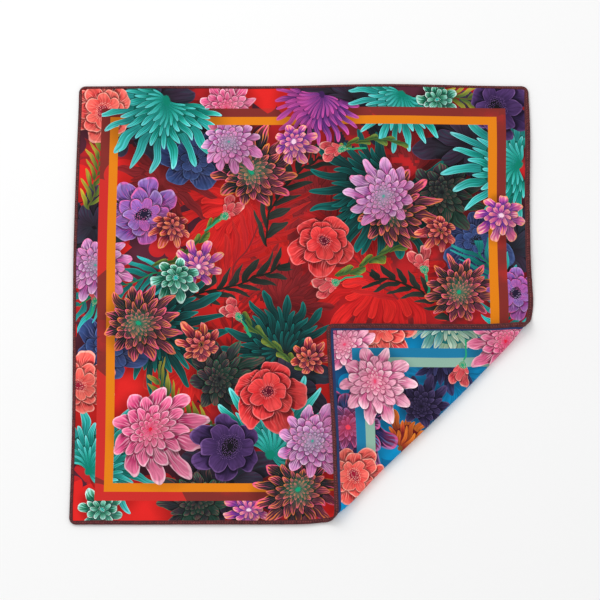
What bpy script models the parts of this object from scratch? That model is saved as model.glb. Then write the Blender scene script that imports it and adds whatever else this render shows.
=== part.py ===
"""A hemmed square wrapping cloth, laid flat, with its lower right corner turned over onto it.

Metres, +Z up. The cloth lies on z = 0 with its sides along X and Y and the origin under its middle.
Its front faces up, and the reverse shows on the turned corner. A flat place (u, v) is a place on the
cloth before the corner is turned, measured from the cloth's middle.
"""

from typing import NamedTuple

import bmesh
import bpy
import numpy as np

# The cloth
SIDE = 0.500  # the hemmed square
CLOTH = 0.0012  # one layer
HEM_WIDTH = 0.0052  # the double turned hem
HEM_EXTRA = 0.0008  # how far the hem stands out on the reverse
HEM_STEP = 0.0008  # over which it drops to the single layer
RIM_RADIUS = 0.0010  # the rounding of the outer edge
RIM_LEAST = 0.5  # the share of the thickness left right at the edge
HEM_LIFT_FADE = 0.026  # how far in the cloth still stands off the floor because of its hem
CORNER_RADIUS = 0.0078

# The turned corner
FOLD_LEG = 0.2225  # from the corner to the crease, along the right side
CREASE = (SIDE - FOLD_LEG) / np.sqrt(2)  # from the cloth's middle square across to the crease
CREASE_END = FOLD_LEG / np.sqrt(2)  # from the middle of the crease to the sides it ends on
CREASE_DRIFT = 0.0049  # how much nearer the corner the crease reaches the lower side
DRIFT_FROM = -0.135  # the place along the crease where the drift starts to fade
DRIFT_REACH = 0.110
BEND_RADIUS = 0.0036  # of the soft roll at the middle of the crease
HEM_BEND = 0.0024  # how much wider the roll is where it takes the stiff hem round
HEM_BEND_REACH = 0.030
LAYER_GAP = 0.0008  # between the turned corner and the cloth under it
SETTLE = 0.013  # how fast the turned corner comes down from the roll to that gap

# The mesh
EDGE_LINES = (0.0, 0.0010, 0.0026, HEM_WIDTH, HEM_WIDTH + HEM_STEP, CORNER_RADIUS, 0.014, 0.024)
FIELD_CELLS = 20
BEND_LINES = (0.0, 0.0014, 0.0029, 0.0046, 0.0066, 0.0090, 0.0130, 0.0190)
SNAP = 0.0004  # a point this near a bend line is left there and not doubled
PROBE = 1e-5  # the step that slopes are measured over

# The finish
GROUND_RED = (0.560, 0.018, 0.018, 1.0)
SATIN_ROUGHNESS = 0.62
SATIN_SHEEN = 0.25


class Pull(NamedTuple):
    """A place where the cloth lies drawn a little out of square, in metres on the floor."""

    x: float
    y: float
    shift_x: float
    shift_y: float
    reach: float


# Both layers: the left side, the top, the right side, the folded edge, and the hems at its two ends
PULLS = (
    Pull(-0.250, 0.240, 0.0011, 0.0000, 0.050),
    Pull(-0.250, 0.060, -0.0010, 0.0000, 0.080),
    Pull(-0.250, -0.150, 0.0016, 0.0000, 0.100),
    Pull(0.090, 0.250, 0.0000, 0.0020, 0.090),
    Pull(0.250, 0.200, 0.0026, 0.0000, 0.065),
    Pull(0.250, -0.012, 0.0024, 0.0000, 0.034),
    Pull(0.078, -0.199, -0.0022, 0.0022, 0.048),
    Pull(0.169, -0.110, 0.0011, -0.0011, 0.060),
    Pull(0.031, -0.244, -0.0003, 0.0026, 0.020),
    Pull(0.246, -0.028, -0.0036, 0.0002, 0.018),
)
# The turned corner alone, at its tip
CORNER_PULLS = (Pull(0.026, -0.027, -0.0033, 0.0022, 0.120),)


class Ridge(NamedTuple):
    """A soft rise where the cloth stands off the floor. Metres, and degrees from +X."""

    x: float
    y: float
    length: float
    width: float
    turn: float
    height: float


RIDGES = (
    Ridge(0.105, 0.252, 0.170, 0.070, 8, 0.0022),
    Ridge(-0.140, 0.256, 0.130, 0.055, -12, 0.0016),
    Ridge(-0.255, 0.080, 0.070, 0.150, 6, 0.0020),
    Ridge(-0.258, -0.120, 0.060, 0.120, -8, 0.0015),
    Ridge(0.258, 0.140, 0.070, 0.160, -5, 0.0021),
    Ridge(0.215, 0.010, 0.150, 0.045, 38, 0.0019),
    Ridge(0.030, -0.205, 0.150, 0.050, 58, 0.0018),
    Ridge(-0.090, -0.262, 0.140, 0.060, 4, 0.0017),
    Ridge(-0.215, -0.235, 0.090, 0.060, 40, 0.0013),
    Ridge(0.085, -0.085, 0.150, 0.075, -48, 0.0012),
    Ridge(-0.020, 0.075, 0.210, 0.090, -33, 0.0010),
)


def fall(share):
    """An even fall from 1 to 0 as share goes from 0 to 1."""
    share = np.clip(share, 0.0, 1.0)
    return 1.0 - share * share * (3.0 - 2.0 * share)


def bell(distance, reach):
    """1 at no distance, falling softly to nothing past reach."""
    return np.exp(-((distance / reach) ** 2))


def along_across(x, y):
    """A place as its distance along the crease from its middle, and square across the crease."""
    return (x + y) / np.sqrt(2), (x - y) / np.sqrt(2)


def on_floor(along, across):
    """The x and y of a place that along_across gave."""
    return (along + across) / np.sqrt(2), (along - across) / np.sqrt(2)


def from_edge(u, v):
    """The distance from the nearest side, negative outside the square."""
    return SIDE / 2 - np.maximum(np.abs(u), np.abs(v))


def round_corners(u, v):
    """Bends the last CORNER_RADIUS of the square at each corner onto a quarter circle."""
    inner = SIDE / 2 - CORNER_RADIUS
    a = np.clip((np.abs(u) - inner) / CORNER_RADIUS, 0.0, 1.0)
    b = np.clip((np.abs(v) - inner) / CORNER_RADIUS, 0.0, 1.0)
    back_u = a * (1.0 - np.sqrt(1.0 - b * b / 2)) * CORNER_RADIUS
    back_v = b * (1.0 - np.sqrt(1.0 - a * a / 2)) * CORNER_RADIUS
    return u - np.sign(u) * back_u, v - np.sign(v) * back_v


def crease_at(along):
    """Where the crease lies across the cloth: straight, but for its drift at the lower side."""
    return CREASE + CREASE_DRIFT * bell(np.maximum(along - DRIFT_FROM, 0.0), DRIFT_REACH)


def bend_radius(along):
    """The radius of the roll along the crease, widest where the hems go round it."""
    inside = np.maximum(CREASE_END - np.abs(along), 0.0)
    return BEND_RADIUS + HEM_BEND * bell(inside, HEM_BEND_REACH)


def pulled(x, y, pulls, share=1.0):
    """How far the pulls draw places on the floor, each fading from its own middle."""
    by_x, by_y = np.zeros_like(x), np.zeros_like(y)
    for pull in pulls:
        weight = share * bell(np.hypot(x - pull.x, y - pull.y), pull.reach)
        by_x, by_y = by_x + pull.shift_x * weight, by_y + pull.shift_y * weight
    return by_x, by_y


def ridges(x, y):
    """How far the cloth stands off the floor: exactly nothing outside the ridges."""
    total = np.zeros_like(x)
    for r in RIDGES:
        c, s = np.cos(np.radians(r.turn)), np.sin(np.radians(r.turn))
        along = ((x - r.x) * c + (y - r.y) * s) / r.length
        across = ((y - r.y) * c - (x - r.x) * s) / r.width
        total = total + r.height * np.clip(1.0 - along**2 - across**2, 0.0, None) ** 2
    return total


def hem_lift(x, y):
    """The rise of the cloth towards its sides, where its own hem is under it."""
    return HEM_EXTRA * fall((from_edge(x, y) - HEM_WIDTH) / HEM_LIFT_FADE)


def laid(u, v):
    """Where the middle of the cloth's thickness lies, as an array of points, for flat places.

    The roll is a half cylinder about the crease. It takes up the cloth within a quarter turn on
    each side of the crease line, so past it the corner lies as in a sharp fold, its own mirror image.
    """
    along, across = along_across(*round_corners(u, v))
    radius, crease = bend_radius(along), crease_at(along)
    quarter = radius * np.pi / 2
    turn = np.clip((across - crease + quarter) / radius, 0.0, np.pi)
    past = np.maximum(across - crease - quarter, 0.0)
    rolled = crease - quarter + radius * np.sin(turn) - past
    x, y = on_floor(along, np.where(turn > 0.0, rolled, across))

    shift_x, shift_y = pulled(x, y, PULLS)
    corner_x, corner_y = pulled(x, y, CORNER_PULLS, 1.0 - bell(past, 0.040))

    settled = CLOTH + LAYER_GAP
    down = (1.0 + past / SETTLE) * np.exp(-past / SETTLE)
    over = settled + (2 * radius - settled) * down
    rise = np.where(turn < np.pi, radius * (1.0 - np.cos(turn)), over)
    z = CLOTH / 2 + hem_lift(x, y) + ridges(x, y) + rise
    return np.stack([x + shift_x + corner_x, y + shift_y + corner_y, z], axis=-1)


def towards_reverse(u, v):
    """The unit direction from the front to the reverse at flat places."""
    du = np.where(u > 0, -PROBE, PROBE)
    dv = np.where(v > 0, -PROBE, PROBE)
    here = laid(u, v)
    slope_u = (laid(u + du, v) - here) / du[:, None]
    slope_v = (laid(u, v + dv) - here) / dv[:, None]
    normal = np.cross(slope_v, slope_u)
    return normal / np.linalg.norm(normal, axis=1, keepdims=True)


def half_layers(u, v):
    """How far the front and the reverse are from the middle: the hem stands out on the reverse."""
    edge = np.maximum(from_edge(u, v), 0.0)
    shy = 1.0 - np.minimum(edge / RIM_RADIUS, 1.0)
    rim = np.maximum(np.sqrt(1.0 - shy * shy), RIM_LEAST)
    hem = HEM_EXTRA * fall((edge - HEM_WIDTH) / HEM_STEP)
    return rim * CLOTH / 2, rim * (CLOTH / 2 + hem)


def grid_lines():
    """Where the mesh's lines cross a side: close at the hem, even over the field."""
    near = np.array(EDGE_LINES) - SIDE / 2
    field = np.linspace(near[-1], -near[-1], FIELD_CELLS + 1)
    return np.concatenate([near[:-1], field, -near[:-1][::-1]])


def slide(bm, way):
    """Slides the mesh across the crease by the crease's drift: -1 straightens the crease, 1 undoes it."""
    for vert in bm.verts:
        along, across = along_across(vert.co.x, vert.co.y)
        vert.co.x, vert.co.y = on_floor(along, across + way * (crease_at(along) - CREASE))


def flat_mesh():
    """The flat square as a grid, cut along lines beside the crease so that the roll bends round."""
    lines = grid_lines()
    steps = range(len(lines) - 1)
    bm = bmesh.new()
    rows = [[bm.verts.new((u, v, 0.0)) for u in lines] for v in lines]
    for i in steps:
        for j in steps:
            bm.faces.new((rows[i][j], rows[i][j + 1], rows[i + 1][j + 1], rows[i + 1][j]))
    slide(bm, -1)
    for line in sorted({side * step for step in BEND_LINES for side in (-1, 1)}):
        u, v = on_floor(0.0, CREASE + line)
        geometry = bm.verts[:] + bm.edges[:] + bm.faces[:]
        bmesh.ops.bisect_plane(bm, geom=geometry, dist=SNAP, plane_co=(u, v, 0), plane_no=(1, -1, 0))
    slide(bm, 1)
    bmesh.ops.triangulate(bm, faces=bm.faces[:], quad_method="SHORT_EDGE")
    bm.verts.index_update()
    return bm


def closed_sheet(bm):
    """Front, reverse and rim as one closed mesh: its points laid on the floor, and its faces."""
    u, v = np.array([vert.co[:2] for vert in bm.verts]).T
    middle, normal = laid(u, v), towards_reverse(u, v)
    front, reverse = half_layers(u, v)
    points = np.concatenate([middle - normal * front[:, None], middle + normal * reverse[:, None]])
    faces = [tuple(vert.index for vert in face.verts) for face in bm.faces]
    back = len(u)
    under = [tuple(back + i for i in reversed(face)) for face in faces]
    rim = []
    for edge in (edge for edge in bm.edges if edge.is_boundary):
        loop = edge.link_loops[0]
        a, b = loop.vert.index, loop.link_loop_next.vert.index
        rim.append((b, a, back + a, back + b))
    low, high = points.min(axis=0), points.max(axis=0)
    points -= np.array([(low[0] + high[0]) / 2, (low[1] + high[1]) / 2, low[2]])
    return points, faces + under + rim


def satin(name, colour):
    """Printed satin: a soft sheen over the ground's colour."""
    material = bpy.data.materials.new(name)
    material.use_nodes = True
    shader = material.node_tree.nodes["Principled BSDF"]
    shader.inputs["Base Color"].default_value = colour
    shader.inputs["Roughness"].default_value = SATIN_ROUGHNESS
    shader.inputs["Metallic"].default_value = 0.0
    shader.inputs["Sheen Weight"].default_value = SATIN_SHEEN
    material.diffuse_color = colour
    return material


def make_cloth():
    """The one piece: the cloth with its own hem, its corner turned over."""
    bm = flat_mesh()
    points, faces = closed_sheet(bm)
    bm.free()
    mesh = bpy.data.meshes.new("cloth")
    mesh.from_pydata(points.tolist(), [], faces)
    mesh.materials.append(satin("printed_satin", GROUND_RED))
    mesh.shade_smooth()
    mesh.set_sharp_from_angle(angle=np.radians(40))
    bpy.context.scene.collection.objects.link(bpy.data.objects.new("cloth", mesh))


for old in list(bpy.data.objects):
    bpy.data.objects.remove(old)
make_cloth()
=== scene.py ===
"""The looks of a printed satin wrapping cloth, laid flat with one corner turned over onto it.

Metres, +Z up, in the frame's axes. A flat place (u, v) is a place on the cloth before its corner is
turned, measured from the cloth's middle: u to the right and v away, with the front face up.
The print is drawn by the satin's own nodes. The mesh only says where each flower and leaf lies.
"""

import logging
import math
from dataclasses import dataclass
from enum import Enum

import bpy
import numpy as np
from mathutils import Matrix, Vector


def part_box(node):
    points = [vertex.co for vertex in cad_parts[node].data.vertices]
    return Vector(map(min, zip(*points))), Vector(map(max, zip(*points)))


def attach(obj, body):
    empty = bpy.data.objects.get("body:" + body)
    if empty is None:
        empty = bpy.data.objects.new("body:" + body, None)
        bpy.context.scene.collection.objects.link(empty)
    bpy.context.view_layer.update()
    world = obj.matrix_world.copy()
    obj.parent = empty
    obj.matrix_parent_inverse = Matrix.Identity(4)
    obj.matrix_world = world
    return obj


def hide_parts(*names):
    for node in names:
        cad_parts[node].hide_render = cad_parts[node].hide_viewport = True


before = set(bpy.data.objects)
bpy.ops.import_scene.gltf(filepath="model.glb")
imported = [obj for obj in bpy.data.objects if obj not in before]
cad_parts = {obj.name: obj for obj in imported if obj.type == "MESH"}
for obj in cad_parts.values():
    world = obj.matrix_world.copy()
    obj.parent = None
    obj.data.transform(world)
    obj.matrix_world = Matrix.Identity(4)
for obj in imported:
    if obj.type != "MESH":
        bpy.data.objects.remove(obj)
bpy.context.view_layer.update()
NODE = "cloth"
BODY = "root"
LOG = logging.getLogger("wrap")

Colour = tuple[float, float, float, float]
Array = np.ndarray


def srgb(red: int, green: int, blue: int) -> Colour:
    """A colour as a dyer's card names it, 0 to 255, made linear.

    Args:
        red: The red share.
        green: The green share.
        blue: The blue share.

    Returns:
        Linear red, green and blue, and full cover.
    """
    linear = [((c / 255 + 0.055) / 1.055) ** 2.4 if c > 10 else c / 3294.6 for c in (red, green, blue)]
    return (linear[0], linear[1], linear[2], 1.0)


def bell(distance: Array, reach: Array | float) -> Array:
    """1 at no distance, falling softly to nothing past reach: exp(-(distance / reach) squared)."""
    return np.exp(-((distance / reach) ** 2))


def fall(share: Array) -> Array:
    """An even fall from 1 to 0 as share goes from 0 to 1: 1 - (3 share squared - 2 share cubed)."""
    share = np.clip(share, 0.0, 1.0)
    return 1.0 - share * share * (3.0 - 2.0 * share)


def across_crease(x: Array, y: Array) -> tuple[Array, Array]:
    """The distance along the crease's diagonal and square across it, both turned by 45 degrees."""
    return (x + y) / math.sqrt(2), (x - y) / math.sqrt(2)


@dataclass(frozen=True)
class Pull:
    """A place where the cloth lies drawn a little out of square, in metres on the floor."""

    x: float
    y: float
    shift_x: float
    shift_y: float
    reach: float


@dataclass(frozen=True)
class Ridge:
    """A soft rise where the cloth stands off the floor. Metres, and degrees from +X."""

    x: float
    y: float
    length: float
    width: float
    turn: float
    height: float

    def local(self, x: Array, y: Array) -> tuple[Array, Array]:
        """Places in the ridge's own turned frame.

        Args:
            x: Places to the right.
            y: Places away.

        Returns:
            Places along and across the ridge, in shares of its length and width.
        """
        c, s = math.cos(math.radians(self.turn)), math.sin(math.radians(self.turn))
        along = ((x - self.x) * c + (y - self.y) * s) / self.length
        across = ((y - self.y) * c - (x - self.x) * s) / self.width
        return along, across

    def rise(self, x: Array, y: Array) -> Array:
        """Height times (1 - along squared - across squared) squared, and exactly nothing outside."""
        along, across = self.local(x, y)
        return self.height * np.clip(1.0 - along**2 - across**2, 0.0, None) ** 2


@dataclass(frozen=True)
class Ripple(Ridge):
    """A patch of fine waves in the satin. Their crests run along the patch's length."""

    waves: float = 3.0
    sway: float = 0.12  # how far a crest strays across, in shares of the width
    sway_turn: float = 3.1  # how fast it strays along the length

    def rise(self, x: Array, y: Array) -> Array:
        """The ridge's own dome times half of 1 + cos(waves times pi times across).

        Across is moved by sway times sin(sway_turn times along) first.

        Args:
            x: Places to the right.
            y: Places away.

        Returns:
            A height for each place.
        """
        along, across = self.local(x, y)
        dome = np.clip(1.0 - along**2 - across**2, 0.0, None) ** 2
        swing = np.cos(self.waves * math.pi * (across + self.sway * np.sin(self.sway_turn * along)))
        return self.height * dome * (0.5 + 0.5 * swing)


PULLS = (
    Pull(-0.250, 0.240, 0.0011, 0.0000, 0.050),
    Pull(-0.250, 0.060, -0.0010, 0.0000, 0.080),
    Pull(-0.250, -0.150, 0.0016, 0.0000, 0.100),
    Pull(0.090, 0.250, 0.0000, 0.0020, 0.090),
    Pull(0.250, 0.200, 0.0026, 0.0000, 0.065),
    Pull(0.250, -0.012, 0.0024, 0.0000, 0.034),
    Pull(0.078, -0.199, -0.0022, 0.0022, 0.048),
    Pull(0.169, -0.110, 0.0011, -0.0011, 0.060),
    Pull(0.031, -0.244, -0.0003, 0.0026, 0.020),
    Pull(0.246, -0.028, -0.0036, 0.0002, 0.018),
)
CORNER_PULL = Pull(0.026, -0.027, -0.0033, 0.0022, 0.120)
RIDGES = (
    Ridge(0.105, 0.252, 0.170, 0.070, 8, 0.0022),
    Ridge(-0.140, 0.256, 0.130, 0.055, -12, 0.0016),
    Ridge(-0.255, 0.080, 0.070, 0.150, 6, 0.0020),
    Ridge(-0.258, -0.120, 0.060, 0.120, -8, 0.0015),
    Ridge(0.258, 0.140, 0.070, 0.160, -5, 0.0021),
    Ridge(0.215, 0.010, 0.150, 0.045, 38, 0.0019),
    Ridge(0.030, -0.205, 0.150, 0.050, 58, 0.0018),
    Ridge(-0.090, -0.262, 0.140, 0.060, 4, 0.0017),
    Ridge(-0.215, -0.235, 0.090, 0.060, 40, 0.0013),
    Ridge(0.085, -0.085, 0.150, 0.075, -48, 0.0012),
    Ridge(-0.020, 0.075, 0.210, 0.090, -33, 0.0010),
)
RIPPLES = (
    Ripple(0.215, 0.205, 0.055, 0.050, 72, 0.0004, 4.0),
    Ripple(0.232, 0.080, 0.040, 0.075, 12, 0.0004, 5.0),
    Ripple(0.060, 0.228, 0.035, 0.090, 84, 0.0003, 5.0),
    Ripple(-0.160, 0.230, 0.035, 0.080, 97, 0.0003, 4.0),
    Ripple(-0.228, 0.120, 0.040, 0.080, -8, 0.0003, 4.0),
    Ripple(-0.228, -0.080, 0.045, 0.090, 6, 0.0003, 5.0),
    Ripple(-0.120, -0.226, 0.040, 0.100, 86, 0.0004, 5.0),
    Ripple(0.010, -0.170, 0.060, 0.040, 20, 0.0004, 3.0),
    Ripple(0.150, -0.040, 0.045, 0.060, 80, 0.0004, 4.0),
    Ripple(-0.060, 0.020, 0.120, 0.060, -30, 0.0003, 2.0),
)


@dataclass(frozen=True)
class LaidCloth:
    """How the square lies: the point on the floor, or on the roll at the crease, of each flat place."""

    side: float = 0.500
    layer: float = 0.0012  # how thick the solid's sheet is
    hem_width: float = 0.0052
    hem_extra: float = 0.0008  # how much thicker the solid's hem is than its sheet
    lift_fade: float = 0.026  # over which the cloth comes down from its hem onto the floor
    corner_radius: float = 0.0078
    fold_leg: float = 0.2225  # from the turned corner to the crease, along a side
    crease_drift: float = 0.0049  # how far the crease strays towards that corner at the lower side
    drift_from: float = -0.135  # the distance along the crease up to which it strays in full
    drift_reach: float = 0.110
    roll: float = 0.0036  # the radius of the fold's roll
    hem_roll: float = 0.0024  # how much more it is where the hems go round the roll
    hem_roll_reach: float = 0.030
    layer_gap: float = 0.0008  # between the turned corner and the cloth under it
    settle: float = 0.013  # over which the turned corner comes down from the roll
    corner_ease: float = 0.040  # past the roll, over which the turned corner's own pull sets in
    probe: float = 1e-5  # the step over which a slope is measured
    rim_points: int = 401  # to a side, for the box of the laid cloth

    @property
    def crease(self) -> float:
        """The distance from the middle, square across, to the crease."""
        return (self.side - self.fold_leg) / math.sqrt(2)

    def round_corners(self, u: Array, v: Array) -> tuple[Array, Array]:
        """Bends the last corner_radius of the square at each corner onto a quarter circle.

        With a and b the shares of the radius past the inner square, u goes back by
        a (1 - sqrt(1 - b squared / 2)) radii, and v by the same with a and b swapped.

        Args:
            u: Flat places to the right.
            v: Flat places away.

        Returns:
            The same places with the corners rounded.
        """
        inner = self.side / 2 - self.corner_radius
        a = np.clip((np.abs(u) - inner) / self.corner_radius, 0.0, 1.0)
        b = np.clip((np.abs(v) - inner) / self.corner_radius, 0.0, 1.0)
        back_u = a * (1.0 - np.sqrt(1.0 - b * b / 2)) * self.corner_radius
        back_v = b * (1.0 - np.sqrt(1.0 - a * a / 2)) * self.corner_radius
        return u - np.sign(u) * back_u, v - np.sign(v) * back_v

    def lift(self, x: Array, y: Array) -> Array:
        """The rise towards the sides, where the cloth's own hem is under it."""
        edge = self.side / 2 - np.maximum(np.abs(x), np.abs(y))
        return self.hem_extra * fall((edge - self.hem_width) / self.lift_fade)

    def raw(self, u: Array, v: Array) -> Array:
        """The middle of the cloth's thickness, before it is centred on the frame.

        The roll is a half cylinder about the crease. It takes up the cloth within a quarter turn on
        each side of the crease line, and past it the corner comes down onto the cloth under it as
        (1 + past / settle) exp(-past / settle).

        Args:
            u: Flat places to the right.
            v: Flat places away.

        Returns:
            One point for each place.
        """
        along, across = across_crease(*self.round_corners(u, v))
        inside = np.maximum(self.fold_leg / math.sqrt(2) - np.abs(along), 0.0)
        radius = self.roll + self.hem_roll * bell(inside, self.hem_roll_reach)
        drift = bell(np.maximum(along - self.drift_from, 0.0), self.drift_reach)
        crease = self.crease + self.crease_drift * drift
        quarter = radius * math.pi / 2
        turn = np.clip((across - crease + quarter) / radius, 0.0, math.pi)
        past = np.maximum(across - crease - quarter, 0.0)
        rolled = crease - quarter + radius * np.sin(turn) - past
        level = np.where(turn > 0.0, rolled, across)
        x, y = (along + level) / math.sqrt(2), (along - level) / math.sqrt(2)

        settled = self.layer + self.layer_gap
        down = (1.0 + past / self.settle) * np.exp(-past / self.settle)
        over = settled + (2 * radius - settled) * down
        rise = np.where(turn < math.pi, radius * (1.0 - np.cos(turn)), over)
        z = self.layer / 2 + self.lift(x, y) + rise + sum(r.rise(x, y) for r in RIDGES + RIPPLES)

        corner = bell(np.hypot(x - CORNER_PULL.x, y - CORNER_PULL.y), CORNER_PULL.reach)
        corner = corner * (1.0 - bell(past, self.corner_ease))
        moved_x, moved_y = x + CORNER_PULL.shift_x * corner, y + CORNER_PULL.shift_y * corner
        for pull in PULLS:
            weight = bell(np.hypot(x - pull.x, y - pull.y), pull.reach)
            moved_x, moved_y = moved_x + pull.shift_x * weight, moved_y + pull.shift_y * weight
        return np.stack([moved_x, moved_y, z], axis=-1)

    def place(self, u: Array, v: Array) -> Array:
        """The middle of the cloth's thickness, centred on the frame's own box.

        Args:
            u: Flat places to the right.
            v: Flat places away.

        Returns:
            One point for each place.
        """
        low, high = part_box(NODE)
        round_side = np.linspace(-self.side / 2, self.side / 2, self.rim_points)
        end = np.full_like(round_side, self.side / 2)
        rim_u = np.concatenate([round_side, round_side, end, -end])
        rim_v = np.concatenate([end, -end, round_side, round_side])
        rim = self.raw(rim_u, rim_v)
        middle = (rim.min(axis=0) + rim.max(axis=0)) / 2
        off = np.array([(low.x + high.x) / 2 - middle[0], (low.y + high.y) / 2 - middle[1], low.z])
        return self.raw(u, v) + off

    def towards_reverse(self, u: Array, v: Array) -> Array:
        """The direction from the front to the reverse: the cross product of the two slopes.

        Args:
            u: Flat places to the right.
            v: Flat places away.

        Returns:
            One unit vector for each place.
        """
        du = np.where(u > 0, -self.probe, self.probe)
        dv = np.where(v > 0, -self.probe, self.probe)
        here = self.raw(u, v)
        slope_u = (self.raw(u + du, v) - here) / du[:, None]
        slope_v = (self.raw(u, v + dv) - here) / dv[:, None]
        normal = np.cross(slope_v, slope_u)
        return normal / np.linalg.norm(normal, axis=1, keepdims=True)


def mesh_object(name: str, points: Array, faces: Array) -> bpy.types.Object:
    """A smooth mesh object at the origin, linked to the scene.

    Args:
        name: The piece's name.
        points: One row for each point.
        faces: One row of point numbers for each four-sided face.

    Returns:
        The new object.
    """
    mesh = bpy.data.meshes.new(name)
    mesh.from_pydata(points.tolist(), [], faces.tolist())
    mesh.shade_smooth()
    piece = bpy.data.objects.new(name, mesh)
    bpy.context.scene.collection.objects.link(piece)
    return piece


def grid_faces(rows: int, columns: int, round_rows: bool = False, round_columns: bool = False) -> Array:
    """The four-sided faces of a grid of points numbered row by row.

    Args:
        rows: How many rows of points.
        columns: How many points in a row.
        round_rows: Whether the last row joins the first.
        round_columns: Whether the last column joins the first.

    Returns:
        One row of four point numbers for each face.
    """
    i = np.arange(rows if round_rows else rows - 1)[:, None]
    j = np.arange(columns if round_columns else columns - 1)[None, :]
    below, above = i * columns, ((i + 1) % rows) * columns
    left, right = j, (j + 1) % columns
    corners = [below + left, below + right, above + right, above + left]
    return np.stack([np.broadcast_to(c, (i.size, j.size)) for c in corners], axis=-1).reshape(-1, 4)


class Wire:
    """One output of a node. Sums on it add the Math nodes that work them out."""

    def __init__(self, loom: "Loom", socket: bpy.types.NodeSocket) -> None:
        """Keeps the node tree's helper and the socket."""
        self.loom = loom
        self.socket = socket

    def __add__(self, other: "Wire | float") -> "Wire":
        """The sum."""
        return self.loom.math("ADD", self, other)

    def __radd__(self, other: float) -> "Wire":
        """The sum."""
        return self.loom.math("ADD", other, self)

    def __sub__(self, other: "Wire | float") -> "Wire":
        """The difference."""
        return self.loom.math("SUBTRACT", self, other)

    def __rsub__(self, other: float) -> "Wire":
        """The difference."""
        return self.loom.math("SUBTRACT", other, self)

    def __mul__(self, other: "Wire | float") -> "Wire":
        """The product."""
        return self.loom.math("MULTIPLY", self, other)

    def __rmul__(self, other: float) -> "Wire":
        """The product."""
        return self.loom.math("MULTIPLY", other, self)

    def __truediv__(self, other: "Wire | float") -> "Wire":
        """The quotient."""
        return self.loom.math("DIVIDE", self, other)

    def __lt__(self, other: "Wire | float") -> "Wire":
        """1 where this is less, or else 0."""
        return self.loom.math("LESS_THAN", self, other)

    def __gt__(self, other: "Wire | float") -> "Wire":
        """1 where this is greater, or else 0."""
        return self.loom.math("GREATER_THAN", self, other)

    def __pow__(self, other: "Wire | float") -> "Wire":
        """The power."""
        return self.loom.math("POWER", self, other)

    def __abs__(self) -> "Wire":
        """The size without its sign."""
        return self.loom.math("ABSOLUTE", self)

    def floor(self) -> "Wire":
        """The whole number below."""
        return self.loom.math("FLOOR", self)

    def root(self) -> "Wire":
        """The square root."""
        return self.loom.math("SQRT", self)

    def clipped(self) -> "Wire":
        """Holds this between 0 and 1: nothing is added to it, and the sum is clamped.

        Returns:
            A number from 0 to 1.
        """
        held = self.loom.math("ADD", self, 0.0)
        held.socket.node.use_clamp = True
        return held


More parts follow.
